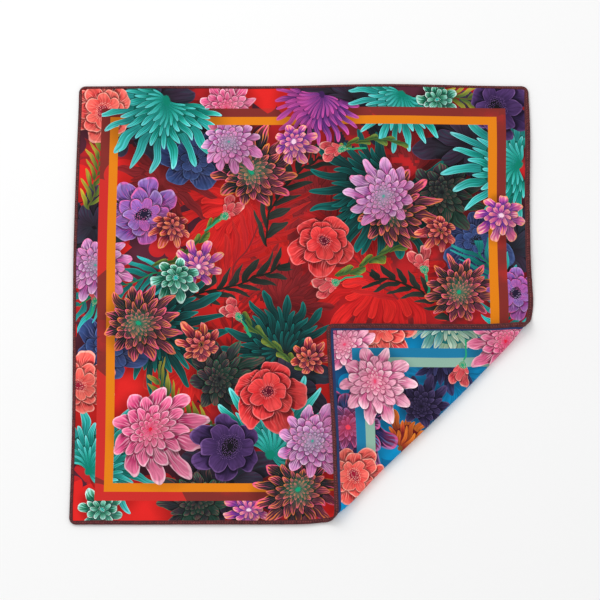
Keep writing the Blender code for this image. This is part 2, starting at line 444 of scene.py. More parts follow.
class Loom:
    """Adds nodes to one node tree."""

    def __init__(self, tree: bpy.types.NodeTree) -> None:
        """Keeps the tree."""
        self.tree = tree

    def node(self, kind: str, **settings: object) -> bpy.types.Node:
        """Adds a node.

        Args:
            kind: The node's type.
            **settings: The node's own properties and their values.

        Returns:
            The new node.
        """
        node = self.tree.nodes.new(kind)
        for name, value in settings.items():
            setattr(node, name, value)
        return node

    def put(self, socket: bpy.types.NodeSocket, value: "Wire | float | Colour") -> None:
        """Gives a socket its value.

        Args:
            socket: A node's input.
            value: A wire to link to it, or a plain value.
        """
        if isinstance(value, Wire):
            self.tree.links.new(value.socket, socket)
        else:
            socket.default_value = value

    def math(self, operation: str, *values: "Wire | float") -> Wire:
        """Adds a Math node.

        Args:
            operation: What it works out.
            *values: What it works on.

        Returns:
            Its result.
        """
        node = self.node("ShaderNodeMath", operation=operation)
        for socket, value in zip(node.inputs, values):
            self.put(socket, value)
        return Wire(self, node.outputs[0])

    def between(self, share: "Wire | float", first: "Wire | float", second: "Wire | float") -> Wire:
        """A number a share of the way from the first to the second."""
        return first + (second - first) * share

    def smooth(self, value: Wire, low: "Wire | float", high: "Wire | float") -> Wire:
        """A soft step.

        Args:
            value: What is looked at.
            low: Where the step starts.
            high: Where it ends.

        Returns:
            0 below the step, 1 above it, and in the step a soft rise.
        """
        node = self.node("ShaderNodeMapRange", interpolation_type="SMOOTHSTEP")
        for name, given in (("Value", value), ("From Min", low), ("From Max", high)):
            self.put(node.inputs[name], given)
        return Wire(self, node.outputs["Result"])

    def mix(self, share: "Wire | float", first: "Wire | Colour", second: "Wire | Colour") -> Wire:
        """Mixes two colours.

        Args:
            share: How far the result is from the first to the second, from 0 to 1.
            first: The colour at 0.
            second: The colour at 1.

        Returns:
            The mixed colour.
        """
        node = self.node("ShaderNodeMix", data_type="RGBA")
        self.put(node.inputs[0], share)
        self.put(node.inputs[6], first)
        self.put(node.inputs[7], second)
        return Wire(self, node.outputs[2])

    def tinted(self, colour: Wire, factor: Wire) -> Wire:
        """Makes a colour lighter or darker: it is mixed out of black, and past itself.

        Args:
            colour: The colour.
            factor: How light it gets, 1 as it is.

        Returns:
            The new colour.
        """
        toned = self.mix(factor, (0.0, 0.0, 0.0, 1.0), colour)
        toned.socket.node.clamp_factor = False
        return toned

    def split(self, vector: Wire) -> tuple[Wire, Wire, Wire]:
        """Takes a vector or a colour apart.

        Args:
            vector: The vector or the colour.

        Returns:
            Its three numbers.
        """
        kind = "ShaderNodeSeparateXYZ" if vector.socket.type == "VECTOR" else "ShaderNodeSeparateColor"
        node = self.node(kind)
        self.put(node.inputs[0], vector)
        return Wire(self, node.outputs[0]), Wire(self, node.outputs[1]), Wire(self, node.outputs[2])

    def join(self, x: "Wire | float", y: "Wire | float", z: "Wire | float" = 0.0) -> Wire:
        """Makes a vector.

        Args:
            x: Its first number.
            y: Its second number.
            z: Its third number.

        Returns:
            The vector.
        """
        node = self.node("ShaderNodeCombineXYZ")
        for socket, value in zip(node.inputs, (x, y, z)):
            self.put(socket, value)
        return Wire(self, node.outputs[0])

    def uneven(self, place: Wire, scale: float, detail: float) -> tuple[Wire, Wire, Wire]:
        """Soft random numbers that drift over a place.

        Args:
            place: The place.
            scale: How often they drift over a length of 1.
            detail: How many finer drifts are added.

        Returns:
            Three numbers about 0.5.
        """
        node = self.node("ShaderNodeTexNoise", noise_dimensions="3D")
        self.put(node.inputs["Vector"], place)
        node.inputs["Scale"].default_value = scale
        node.inputs["Detail"].default_value = detail
        return self.split(Wire(self, node.outputs["Color"]))

    def chance(self, x: "Wire | float", y: "Wire | float", z: "Wire | float") -> tuple[Wire, Wire, Wire]:
        """Random numbers that jump from each place to the next.

        Args:
            x: The place's first number.
            y: Its second number.
            z: Its third number.

        Returns:
            Three numbers from 0 to 1.
        """
        place = self.join(x, y, z)
        node = self.node("ShaderNodeTexWhiteNoise", noise_dimensions="3D")
        self.put(node.inputs["Vector"], place)
        return self.split(Wire(self, node.outputs["Color"]))

    def card(self, share: Wire, rows: list[Colour]) -> tuple[Wire, Wire]:
        """Looks up a row in a card of values.

        Args:
            share: The row's place on the card, from 0 to 1.
            rows: Four values for each row.

        Returns:
            The row's first three values, and its fourth.
        """
        node = self.node("ShaderNodeValToRGB")
        ramp = node.color_ramp
        ramp.interpolation = "CONSTANT"
        ramp.elements.remove(ramp.elements[1])
        ramp.elements[0].position = 0.0
        ramp.elements[0].color = rows[0]
        for number, row in enumerate(rows[1:], start=1):
            ramp.elements.new(number / CARD_PLACES).color = row
        self.put(node.inputs[0], share)
        return Wire(self, node.outputs["Color"]), Wire(self, node.outputs["Alpha"])

    def attribute(self, name: str) -> bpy.types.Node:
        """The node that reads one of the mesh's own attributes."""
        return self.node("ShaderNodeAttribute", attribute_name=name)

    def bump(self, height: Wire, strength: float, distance: float) -> Wire:
        """Bends the surface's normal by a height.

        Args:
            height: The height, from -1 to 1.
            strength: How strongly the normal is bent, from 0 to 1.
            distance: How high a height of 1 is, in metres.

        Returns:
            The bent normal.
        """
        node = self.node("ShaderNodeBump")
        self.put(node.inputs["Height"], height)
        node.inputs["Strength"].default_value = strength
        node.inputs["Distance"].default_value = distance
        return Wire(self, node.outputs["Normal"])


@dataclass(frozen=True)
class Gloss:
    """How a finish takes the light, the same all over it."""

    roughness: float
    shine: float
    sheen: float = 0.0


def bare_material(name: str, gloss: Gloss) -> bpy.types.Material:
    """Makes a material that has only its gloss so far.

    Args:
        name: The material's name.
        gloss: How it takes the light.

    Returns:
        The material, whose shader still waits for its colour.
    """
    material = bpy.data.materials.new(name)
    material.use_nodes = True
    shader = material.node_tree.nodes["Principled BSDF"]
    shader.inputs["Roughness"].default_value = gloss.roughness
    shader.inputs["Specular IOR Level"].default_value = gloss.shine
    shader.inputs["Sheen Weight"].default_value = gloss.sheen
    return material


@dataclass(frozen=True)
class Drawing:
    """How one kind of flower or leaf is drawn. Lengths are in shares of its outer radius.

    Petals stand in rings about the middle, each ring ratio times as wide as the one outside it and
    turned by half a petal. A petal reaches length times (1 - drop times side to the power), where
    side goes from 0 along its middle to 1 at its edge. A spread under 1 leaves only that share of
    the turn, as a fan. A sprig has its leaves in two rows along a stem and not about a middle, and
    its spread is the leaves' length. Blend is how far the petals on one side turn to the stroke's
    colour, depth how dark the petals are under the ring above them, stem the length of the stalk
    behind a fan, bow how much shorter a fan is at its sides, and variety how far the strokes and
    the rim trade colours in places.
    """

    petals: int
    rings: int
    ratio: float
    drop: float
    power: float
    inner: Colour
    outer: Colour
    rim: Colour
    stroke: Colour
    heart: Colour
    core: float = 0.06
    spread: float = 1.0
    sprig: bool = False
    wobble: float = 0.24
    strokes: int = 6
    stroke_share: float = 0.6
    from_tip: bool = True
    rim_width: float = 0.07
    blend: float = 0.15
    depth: float = 0.68
    stem: float = 0.0
    bow: float = 0.25
    variety: float = 0.0


DEEP_TEAL = srgb(15, 95, 90)
TEAL = srgb(10, 165, 150)
TURQUOISE = srgb(80, 205, 215)
MAGENTA = srgb(215, 80, 165)
EMERALD = srgb(20, 120, 80)
OLIVE = srgb(190, 180, 50)
MARIGOLD = srgb(245, 150, 35)
SCARLET = srgb(216, 36, 34)
BRICK = srgb(180, 32, 36)
WINE = srgb(126, 34, 38)
FLAME = srgb(235, 75, 45)
LAKE = srgb(10, 140, 195)
MID_LAKE = srgb(12, 128, 182)
DEEP_LAKE = srgb(16, 108, 160)
DARK_LAKE = srgb(22, 78, 124)
DARK_WINE = srgb(80, 34, 48)


class Kind(Enum):
    """The kinds of flower and leaf in the print, each with its drawing."""

    SCARLET_SHADE = Drawing(7, 1, 0.5, 0.42, 2.0, SCARLET, srgb(222, 38, 36), srgb(240, 60, 48),
                            srgb(190, 34, 36), BRICK, core=0.12, strokes=7, rim_width=0.03, blend=0.0)
    SCARLET_DAISY = Drawing(15, 2, 0.6, 1.0, 3.2, srgb(196, 30, 32), SCARLET, srgb(236, 52, 44),
                            srgb(176, 30, 34), BRICK, core=0.10, strokes=6, rim_width=0.03, blend=0.0,
                            depth=0.4)
    WINE_SHADE = Drawing(13, 3, 0.66, 0.8, 1.6, WINE, srgb(140, 34, 38), srgb(168, 40, 40),
                         srgb(104, 32, 38), WINE, core=0.05, rim_width=0.03, blend=0.3, depth=0.4)
    NIGHT_SHADE = Drawing(7, 2, 0.62, 0.5, 1.8, srgb(40, 34, 44), srgb(58, 42, 62), srgb(84, 60, 92),
                          srgb(36, 62, 72), srgb(20, 18, 24), core=0.05, rim_width=0.03, blend=0.5)
    BRICK_SPRIG = Drawing(9, 1, 0.5, 1.0, 1.7, BRICK, srgb(205, 38, 38), srgb(222, 50, 44),
                          WINE, WINE, core=0.014, spread=0.4, sprig=True)
    NIGHT_SPRIG = Drawing(7, 1, 0.5, 1.0, 1.6, srgb(36, 42, 38), srgb(50, 54, 50), srgb(70, 66, 60),
                          srgb(36, 60, 54), srgb(34, 30, 26), core=0.022, spread=0.3, sprig=True)
    STEM = Drawing(4, 1, 0.5, 1.0, 1.6, srgb(40, 70, 40), srgb(110, 130, 50), OLIVE, srgb(60, 130, 80),
                   srgb(70, 96, 44), core=0.02, spread=0.14, sprig=True)
    NIGHT_FAN = Drawing(21, 4, 0.70, 1.0, 2.0, srgb(20, 46, 48), srgb(20, 78, 76), srgb(24, 136, 130),
                        srgb(18, 104, 98), srgb(24, 30, 32), spread=0.55, strokes=5)
    NIGHT_ROSETTE = Drawing(9, 6, 0.72, 0.5, 1.7, srgb(32, 36, 40), srgb(52, 44, 56), srgb(130, 62, 70),
                            srgb(34, 112, 80), srgb(24, 24, 28), core=0.05, strokes=8, stroke_share=0.9,
                            rim_width=0.05, blend=0.25, variety=1.0)
    NAVY_BLOOM = Drawing(6, 3, 0.62, 0.36, 2.6, srgb(32, 40, 78), srgb(46, 66, 116), srgb(82, 104, 156),
                         srgb(92, 98, 142), srgb(26, 28, 40), core=0.15, strokes=9, from_tip=False)
    TEAL_FAN = Drawing(21, 4, 0.70, 1.0, 2.0, srgb(6, 112, 100), srgb(18, 186, 164), srgb(140, 238, 238),
                       TURQUOISE, srgb(8, 120, 100), spread=0.6, strokes=7, stroke_share=0.95, blend=0.2,
                       depth=0.75)
    TEAL_SPRIG = Drawing(9, 1, 0.5, 1.0, 1.8, DEEP_TEAL, TEAL, TURQUOISE, TURQUOISE, EMERALD,
                         core=0.016, spread=0.4, sprig=True)
    OLIVE_SPRIG = Drawing(8, 1, 0.5, 1.0, 1.8, srgb(70, 90, 40), OLIVE, MARIGOLD, EMERALD, srgb(90, 90, 40),
                          core=0.016, spread=0.35, sprig=True)
    PURPLE_FRINGE = Drawing(30, 3, 0.66, 1.0, 2.6, srgb(84, 40, 110), srgb(150, 74, 160),
                            srgb(234, 90, 170), MAGENTA, srgb(60, 30, 80), spread=0.5, strokes=4,
                            stroke_share=0.7, blend=0.6, depth=0.6)
    LILAC_ROSETTE = Drawing(11, 7, 0.75, 0.44, 2.0, srgb(124, 66, 130), srgb(204, 142, 196),
                            srgb(250, 222, 236), srgb(240, 96, 164), srgb(70, 150, 140), core=0.04,
                            strokes=8, from_tip=False, rim_width=0.06, blend=0.3, variety=0.8)
    EMBER_ROSETTE = Drawing(12, 6, 0.74, 0.52, 1.6, srgb(24, 40, 40), srgb(60, 22, 44), srgb(248, 150, 34),
                            srgb(240, 84, 140), srgb(20, 150, 110), core=0.06, strokes=8,
                            stroke_share=0.95, rim_width=0.08, blend=0.12, variety=0.9)
    ROSE_ROSETTE = Drawing(10, 6, 0.73, 0.44, 1.9, srgb(176, 34, 92), srgb(238, 92, 146),
                           srgb(255, 214, 224), srgb(250, 176, 200), srgb(214, 30, 60), core=0.05,
                           strokes=8, from_tip=False, blend=0.2, variety=0.5)
    PALE_ROSETTE = Drawing(10, 6, 0.73, 0.44, 1.9, srgb(190, 84, 130), srgb(242, 178, 198),
                           srgb(254, 238, 240), srgb(226, 100, 150), srgb(226, 70, 104), core=0.05,
                           strokes=9, from_tip=False, blend=0.25, variety=0.7)
    MAGENTA_ROSETTE = Drawing(9, 6, 0.74, 0.46, 1.9, srgb(24, 38, 84), srgb(86, 22, 54), srgb(250, 90, 156),
                              srgb(24, 120, 170), srgb(226, 60, 80), core=0.06, strokes=8,
                              stroke_share=0.95, rim_width=0.10, variety=0.7)
    VIOLET_ROSETTE = Drawing(9, 6, 0.74, 0.5, 2.0, srgb(28, 22, 46), srgb(46, 36, 70), srgb(84, 70, 112),
                             srgb(66, 56, 92), srgb(22, 18, 34), core=0.05)
    PURPLE_BLOSSOM = Drawing(7, 3, 0.72, 0.34, 2.6, srgb(92, 52, 132), srgb(132, 96, 176),
                             srgb(206, 176, 226), srgb(232, 70, 150), srgb(34, 26, 50), core=0.20,
                             strokes=12, from_tip=False, blend=0.25, variety=0.8)
    DUSK_BLOSSOM = Drawing(6, 2, 0.76, 0.34, 2.6, srgb(36, 26, 54), srgb(72, 46, 98), srgb(118, 84, 140),
                           srgb(52, 36, 76), srgb(20, 18, 24), core=0.24, strokes=12, from_tip=False)
    POPPY = Drawing(5, 3, 0.76, 0.28, 2.8, srgb(150, 20, 34), srgb(226, 42, 44), srgb(250, 150, 150),
                    srgb(246, 92, 84), srgb(90, 16, 36), core=0.15, strokes=14, from_tip=False,
                    rim_width=0.045, blend=0.25, variety=0.5)
    CORAL_BLOSSOM = Drawing(6, 3, 0.74, 0.32, 2.6, srgb(186, 34, 48), srgb(238, 78, 70),
                            srgb(254, 196, 180), srgb(252, 150, 130), srgb(150, 26, 50), core=0.16,
                            strokes=12, from_tip=False, variety=0.5)
    STAR_SPRAY = Drawing(8, 3, 0.66, 1.0, 3.0, srgb(96, 44, 136), srgb(224, 74, 160), srgb(252, 206, 216),
                         MARIGOLD, srgb(236, 200, 220), core=0.10, strokes=5, stroke_share=0.85,
                         variety=0.8)
    JADE_SPRAY = Drawing(7, 3, 0.70, 0.9, 2.8, srgb(12, 70, 54), srgb(16, 140, 96), srgb(220, 242, 236),
                         srgb(128, 220, 204), TEAL, core=0.09, strokes=7, stroke_share=0.9, rim_width=0.10)
    GOLD_SPRAY = Drawing(7, 3, 0.68, 0.9, 2.4, srgb(70, 20, 40), srgb(190, 50, 44), srgb(252, 176, 60),
                         srgb(240, 110, 150), srgb(40, 20, 34), core=0.12, strokes=6, stroke_share=0.95,
                         variety=0.8)
    BUD = Drawing(9, 2, 0.70, 0.42, 2.6, srgb(150, 22, 40), srgb(228, 56, 72), srgb(255, 184, 172),
                  srgb(250, 128, 128), srgb(36, 150, 108), spread=0.34, core=0.16, strokes=9,
                  from_tip=False, rim_width=0.10, stem=0.95, bow=0.8, blend=0.1)
    FLAME_FAN = Drawing(13, 3, 0.72, 1.0, 1.8, srgb(130, 30, 34), FLAME, srgb(250, 156, 66),
                        MARIGOLD, srgb(120, 80, 40), spread=0.5, strokes=6, blend=0.3, variety=0.5)
    VIOLET_FAN = Drawing(11, 3, 0.7, 1.0, 1.8, srgb(30, 26, 52), srgb(46, 38, 74), srgb(78, 80, 130),
                         srgb(60, 70, 120), srgb(22, 18, 34), spread=0.5)
    MIST_FAN = Drawing(16, 4, 0.74, 1.0, 2.0, srgb(36, 132, 132), srgb(120, 186, 190), srgb(220, 232, 236),
                       srgb(222, 214, 140), srgb(30, 110, 100), spread=0.55, strokes=6, blend=0.3,
                       variety=0.6)
    LAKE_SHADE = Drawing(7, 1, 0.5, 0.42, 2.2, MID_LAKE, srgb(16, 134, 188), srgb(40, 156, 206),
                         srgb(10, 112, 166), srgb(14, 108, 158), core=0.10, strokes=7, rim_width=0.03)


KINDS = list(Kind)
MILLIMETRES = 1000  # to a metre
CARD_PLACES = 32  # the most kinds that one card of the satin's nodes holds
PETALS_FULL, RINGS_FULL, POWER_FULL, STROKES_FULL = 32, 8, 4, 32  # what a card's 1 stands for
SPRIG_CODE = 1.0  # what a card has for a sprig where it has the bow of another kind
BOW_SHARE = 0.9  # of that bow, so that none is taken for a sprig
ALL_ROUND = 0.99  # the spread past which a flower is whole and not a fan
AFTER_SHARE = 1e-9  # of the cover below, which makes a slot wait for it and changes nothing


@dataclass(frozen=True)
class Motif:
    """One flower or leaf of the print. Millimetres from the cloth's middle, and degrees from u."""

    kind: Kind
    u: float
    v: float
    radius: float
    turn: float = 0.0
    over: bool = False  # whether it is printed over the frame of bands


FRONT = (
    Motif(Kind.SCARLET_DAISY, -80, 95, 74, 10),
    Motif(Kind.SCARLET_DAISY, 85, 8, 84, 40),
    Motif(Kind.SCARLET_SHADE, -118, -75, 60, 70),
    Motif(Kind.WINE_SHADE, 120, 150, 66, 0),
    Motif(Kind.WINE_SHADE, -20, 10, 62, 0),
    Motif(Kind.WINE_SHADE, -150, 130, 60, 30),
    Motif(Kind.WINE_SHADE, 20, 110, 52, 10),
    Motif(Kind.BRICK_SPRIG, -60, 60, 80, 60),
    Motif(Kind.BRICK_SPRIG, 60, 50, 66, 130),
    Motif(Kind.BRICK_SPRIG, -70, -60, 60, 100),
    Motif(Kind.NIGHT_SHADE, -170, 215, 60, 0),
    Motif(Kind.NIGHT_SHADE, 50, 225, 62, 30),
    Motif(Kind.NIGHT_SHADE, 180, 185, 64, 10),
    Motif(Kind.NIGHT_SHADE, -232, 90, 50, 10),
    Motif(Kind.NIGHT_SHADE, -80, -215, 66, 10),
    Motif(Kind.NIGHT_SHADE, -15, -95, 56, 40),
    Motif(Kind.NIGHT_SHADE, 232, 60, 52, 40),
    Motif(Kind.NIGHT_SHADE, -95, 180, 50, 20),
    Motif(Kind.NIGHT_SPRIG, -20, 120, 62, 60),
    Motif(Kind.NIGHT_SPRIG, 128, 8, 50, 150),
    Motif(Kind.NIGHT_SPRIG, -75, 20, 56, 20),
    Motif(Kind.NIGHT_FAN, 92, 128, 92, 190),
    Motif(Kind.NIGHT_FAN, 92, 128, 92, 290),
    Motif(Kind.NIGHT_FAN, -165, -30, 88, -15),
    Motif(Kind.NIGHT_FAN, -20, -60, 78, 130),
    Motif(Kind.PURPLE_FRINGE, 20, 238, 64, 250, over=True),
    Motif(Kind.NAVY_BLOOM, -118, 168, 44, 20),
    Motif(Kind.NAVY_BLOOM, -205, -45, 44, 0),
    Motif(Kind.NAVY_BLOOM, 195, 62, 44, 0),
    Motif(Kind.NIGHT_ROSETTE, 160, 120, 46, 0),
    Motif(Kind.NIGHT_ROSETTE, -80, -85, 46, 10),
    Motif(Kind.NIGHT_ROSETTE, -120, -220, 44, 10),
    Motif(Kind.TEAL_FAN, -150, 232, 88, -110, over=True),
    Motif(Kind.TEAL_FAN, 238, 158, 84, 178),
    Motif(Kind.TEAL_FAN, -232, -190, 84, 50),
    Motif(Kind.TEAL_FAN, -35, -170, 96, 60),
    Motif(Kind.TEAL_FAN, 112, 238, 70, 250),
    Motif(Kind.TEAL_SPRIG, 214, 0, 62, 100),
    Motif(Kind.TEAL_SPRIG, -190, 20, 60, 200),
    Motif(Kind.OLIVE_SPRIG, -226, 148, 46, 80),
    Motif(Kind.OLIVE_SPRIG, 180, 232, 44, -10),
    Motif(Kind.OLIVE_SPRIG, -130, -120, 44, 140),
    Motif(Kind.STEM, -125, 62, 46, 40),
    Motif(Kind.STEM, 84, 52, 52, 30),
    Motif(Kind.STEM, -30, -52, 46, 140),
    Motif(Kind.STEM, 70, 182, 40, 10),
    Motif(Kind.BUD, -86, 98, 30, 50),
    Motif(Kind.BUD, 36, 22, 30, 205),
    Motif(Kind.BUD, 134, 36, 30, 110),
    Motif(Kind.BUD, -70, -18, 28, 135),
    Motif(Kind.BUD, 44, 176, 28, 190),
    Motif(Kind.BUD, -226, 0, 26, 80),
    Motif(Kind.DUSK_BLOSSOM, 222, 222, 38, 0),
    Motif(Kind.CORAL_BLOSSOM, -228, 222, 40, 0),
    Motif(Kind.PURPLE_BLOSSOM, -178, 105, 42, 0),
    Motif(Kind.GOLD_SPRAY, -146, 80, 24, 10, over=True),
    Motif(Kind.STAR_SPRAY, 216, 94, 30, 10, over=True),
    Motif(Kind.JADE_SPRAY, 150, 232, 24, 0),
    Motif(Kind.ROSE_ROSETTE, -82, 226, 36, 0),
    Motif(Kind.EMBER_ROSETTE, -50, 160, 54, 0),
    Motif(Kind.LILAC_ROSETTE, -78, 178, 36, 0),
    Motif(Kind.STAR_SPRAY, -6, 182, 26, 0, over=True),
    Motif(Kind.EMBER_ROSETTE, 108, 106, 50, 0),
    Motif(Kind.LILAC_ROSETTE, 84, 126, 42, 0),
    Motif(Kind.GOLD_SPRAY, 146, 76, 24, 0, over=True),
    Motif(Kind.POPPY, 20, 62, 38, 20),
    Motif(Kind.PURPLE_BLOSSOM, 228, 8, 34, 0),
    Motif(Kind.EMBER_ROSETTE, 172, 14, 42, 0),
    Motif(Kind.STAR_SPRAY, -112, 45, 28, 0),
    Motif(Kind.JADE_SPRAY, -138, 22, 28, 0),
    Motif(Kind.LILAC_ROSETTE, -222, 36, 42, 0),
    Motif(Kind.EMBER_ROSETTE, -172, -25, 48, 0, over=True),
    Motif(Kind.CORAL_BLOSSOM, -235, -92, 36, 0),
    Motif(Kind.GOLD_SPRAY, -115, -45, 26, 0),
    Motif(Kind.ROSE_ROSETTE, -152, -152, 58, 0, over=True),
    Motif(Kind.DUSK_BLOSSOM, -85, -165, 40, 0),
    Motif(Kind.STAR_SPRAY, -60, -232, 26, 0),
    Motif(Kind.JADE_SPRAY, -216, -230, 26, 0),
    Motif(Kind.POPPY, -35, -110, 42, 40),
    Motif(Kind.EMBER_ROSETTE, -5, -218, 50, 0, over=True),
    Motif(Kind.LILAC_ROSETTE, 14, -158, 44, 20),
    Motif(Kind.GOLD_SPRAY, 10, -62, 24, 20, over=True),
    Motif(Kind.TEAL_FAN, 120, -120, 90, 0),
    Motif(Kind.ROSE_ROSETTE, 110, -90, 54, 0),
    Motif(Kind.EMBER_ROSETTE, 180, -170, 58, 0, over=True),
)
REVERSE_CORNER = (
    Motif(Kind.LAKE_SHADE, 190, -110, 56, 0),
    Motif(Kind.VIOLET_FAN, 214, -128, 48, 150),
    Motif(Kind.MIST_FAN, 262, -116, 60, 180),
    Motif(Kind.FLAME_FAN, 112, -176, 52, 60),
    Motif(Kind.VIOLET_ROSETTE, 166, -148, 30, 0),
    Motif(Kind.CORAL_BLOSSOM, 240, -182, 36, 0),
    Motif(Kind.PALE_ROSETTE, 236, -236, 42, 0),
    Motif(Kind.MAGENTA_ROSETTE, 128, -234, 58, 0),
    Motif(Kind.PALE_ROSETTE, 182, -196, 44, 0, over=True),
    Motif(Kind.CORAL_BLOSSOM, 84, -222, 36, 0, over=True),
    Motif(Kind.ROSE_ROSETTE, 226, -64, 40, 0, over=True),
    Motif(Kind.BUD, 204, -104, 28, 200, over=True),
)
OTHER_SIDE = {
    Kind.SCARLET_SHADE: Kind.LAKE_SHADE, Kind.SCARLET_DAISY: Kind.LAKE_SHADE,
    Kind.WINE_SHADE: Kind.VIOLET_ROSETTE, Kind.NIGHT_SHADE: Kind.VIOLET_ROSETTE,
    Kind.BRICK_SPRIG: Kind.TEAL_SPRIG, Kind.NIGHT_FAN: Kind.VIOLET_FAN, Kind.TEAL_FAN: Kind.MIST_FAN,
    Kind.PURPLE_FRINGE: Kind.FLAME_FAN, Kind.EMBER_ROSETTE: Kind.MAGENTA_ROSETTE,
    Kind.LILAC_ROSETTE: Kind.PALE_ROSETTE, Kind.PURPLE_BLOSSOM: Kind.CORAL_BLOSSOM,
}
CORNER_LEG = 210  # how far the reverse's own corner of flowers reaches, in millimetres of u - v


def turned_over(motif: Motif) -> Motif:
    """A motif's fellow on the reverse: mirrored across the diagonal, in the reverse's colours."""
    return Motif(OTHER_SIDE.get(motif.kind, motif.kind), motif.v, motif.u, motif.radius,
                 90 - motif.turn, motif.over)


REVERSE = tuple(turned_over(each) for each in FRONT if each.v - each.u < CORNER_LEG) + REVERSE_CORNER


@dataclass(frozen=True)
class Print:
    """The motifs of both faces, given out to the mesh's own faces in a few slots.

    A slot of a mesh face holds one motif that may reach it, slot 0 the one on top. Each corner of
    the face then carries the motif's own coordinates and a code of its kind and its seed.
    """

    slots: int = 6
    reach: float = 1.12  # how far out a motif may be drawn, in radii
    sprig_half: float = 0.62  # how far a sprig may be drawn to each side of its stem, in radii
    margin: float = 0.003  # how far past that a mesh face still takes the motif
    over_step: float = 64.0  # how much more the code of a motif over the frame is
    seeds: int = 32  # how many different seeds there are, each in the middle of its step
    seed_step: int = 7  # from one motif's seed to the next one's
    empty: tuple[float, float, float] = (9.0, 9.0, -1.0)  # a far place and the code of no kind

    def local(self, motif: Motif, u: Array, v: Array) -> tuple[Array, Array]:
        """Flat places in a motif's own turned frame.

        Args:
            motif: The motif.
            u: Flat places to the right.
            v: Flat places away.

        Returns:
            Places along and across the motif, in shares of its radius.
        """
        c, s = math.cos(math.radians(motif.turn)), math.sin(math.radians(motif.turn))
        off_u, off_v = u * MILLIMETRES - motif.u, v * MILLIMETRES - motif.v
        return (off_u * c + off_v * s) / motif.radius, (off_v * c - off_u * s) / motif.radius

    def code(self, motif: Motif, number: int) -> float:
        """The kind's number, with the seed as its fraction, and one step more if it is over the frame."""
        seed = (number * self.seed_step % self.seeds + 0.5) / self.seeds
        return KINDS.index(motif.kind) + seed + (self.over_step if motif.over else 0.0)

    def give_out(self, motifs: tuple[Motif, ...], u: Array, v: Array) -> list[Array]:
        """What each slot holds at each corner of each mesh face.

        Args:
            motifs: The motifs of one face of the cloth, the lowest first.
            u: Flat places to the right, a row of corners for each mesh face.
            v: Flat places away, in the same rows.

        Returns:
            For each slot, own coordinates and code: faces by corners by three.
        """
        held = [np.full(u.shape + (3,), self.empty) for _ in range(self.slots)]
        filled = np.zeros(len(u), dtype=int)
        middle_u, middle_v = u.mean(axis=1), v.mean(axis=1)
        for number, motif in reversed(list(enumerate(motifs))):
            x, y = self.local(motif, middle_u, middle_v)
            spare = self.margin * MILLIMETRES / motif.radius
            if motif.kind.value.sprig:
                near = (np.abs(x) < self.reach + spare) & (np.abs(y) < self.sprig_half + spare)
            else:
                near = np.hypot(x, y) < self.reach + spare
            for slot in range(self.slots):
                rows = np.flatnonzero(near & (filled == slot))
                x, y = self.local(motif, u[rows], v[rows])
                held[slot][rows] = np.stack([x, y, np.full_like(x, self.code(motif, number))], axis=-1)
                near[rows] = False
                filled[rows] += 1
        return held


@dataclass(frozen=True)
class Petal:
    """The wires of one petal at a place."""

    name: Wire  # its number in its ring
    across: Wire  # from -1 at one side of its lane to 1 at the other
    length: Wire
    edge: Wire  # how far out it reaches on this line across
    cover: Wire  # 1 where it is, or else 0
    rolls: tuple[Wire, Wire, Wire]  # three random numbers of its own


@dataclass(frozen=True)
class Hand:
    """The habits of the one hand that draws all the kinds. Lengths are in shares of the radius."""

    drift_scale: float = 2.2  # how often the outline wavers over a radius
    stem_curve: float = 0.7  # how far a sprig's stem curves
    lean: float = 0.5  # how far a round flower's middle is off the middle of its outline
    leaf_slant: float = 0.62  # how far a sprig's leaves lean along the stem
    leaf_reach: float = 0.88  # how far out a sprig's place is at a leaf's length from its stem
    uneven_length: float = 0.1  # how much shorter a petal may be than its fellows
    stroke_width: float = 0.42  # of a stroke's root, in shares of its lane
    stroke_edge: float = 0.06  # over which its edge fades
    glow: float = 0.16  # of the rim's colour along a petal's middle
    shadow_reach: float = 0.30  # of the shadow of one ring's petals on the next, in petal lengths
    dark_side: float = 0.30  # how much darker the motif is on the side away from the light
    vein: float = 0.22  # how much darker the line along a petal's middle is
    vein_width: float = 0.05
    hollow_reach: float = 0.82  # how far out the dark inside fills, in shares of the second ring
    core_waver: float = 0.08
    stalk_curve: float = 0.25
    stalk_width: float = 0.045
    dots: float = 26.0  # how many stamens there are to a radius
    dot_size: float = 0.22
    warmth: float = 0.34  # how far the heart's colour spreads over a full flower's inner petals
    warmth_reach: float = 0.42
    soft_shade: float = 0.6  # of the shade round a flower on what lies under it


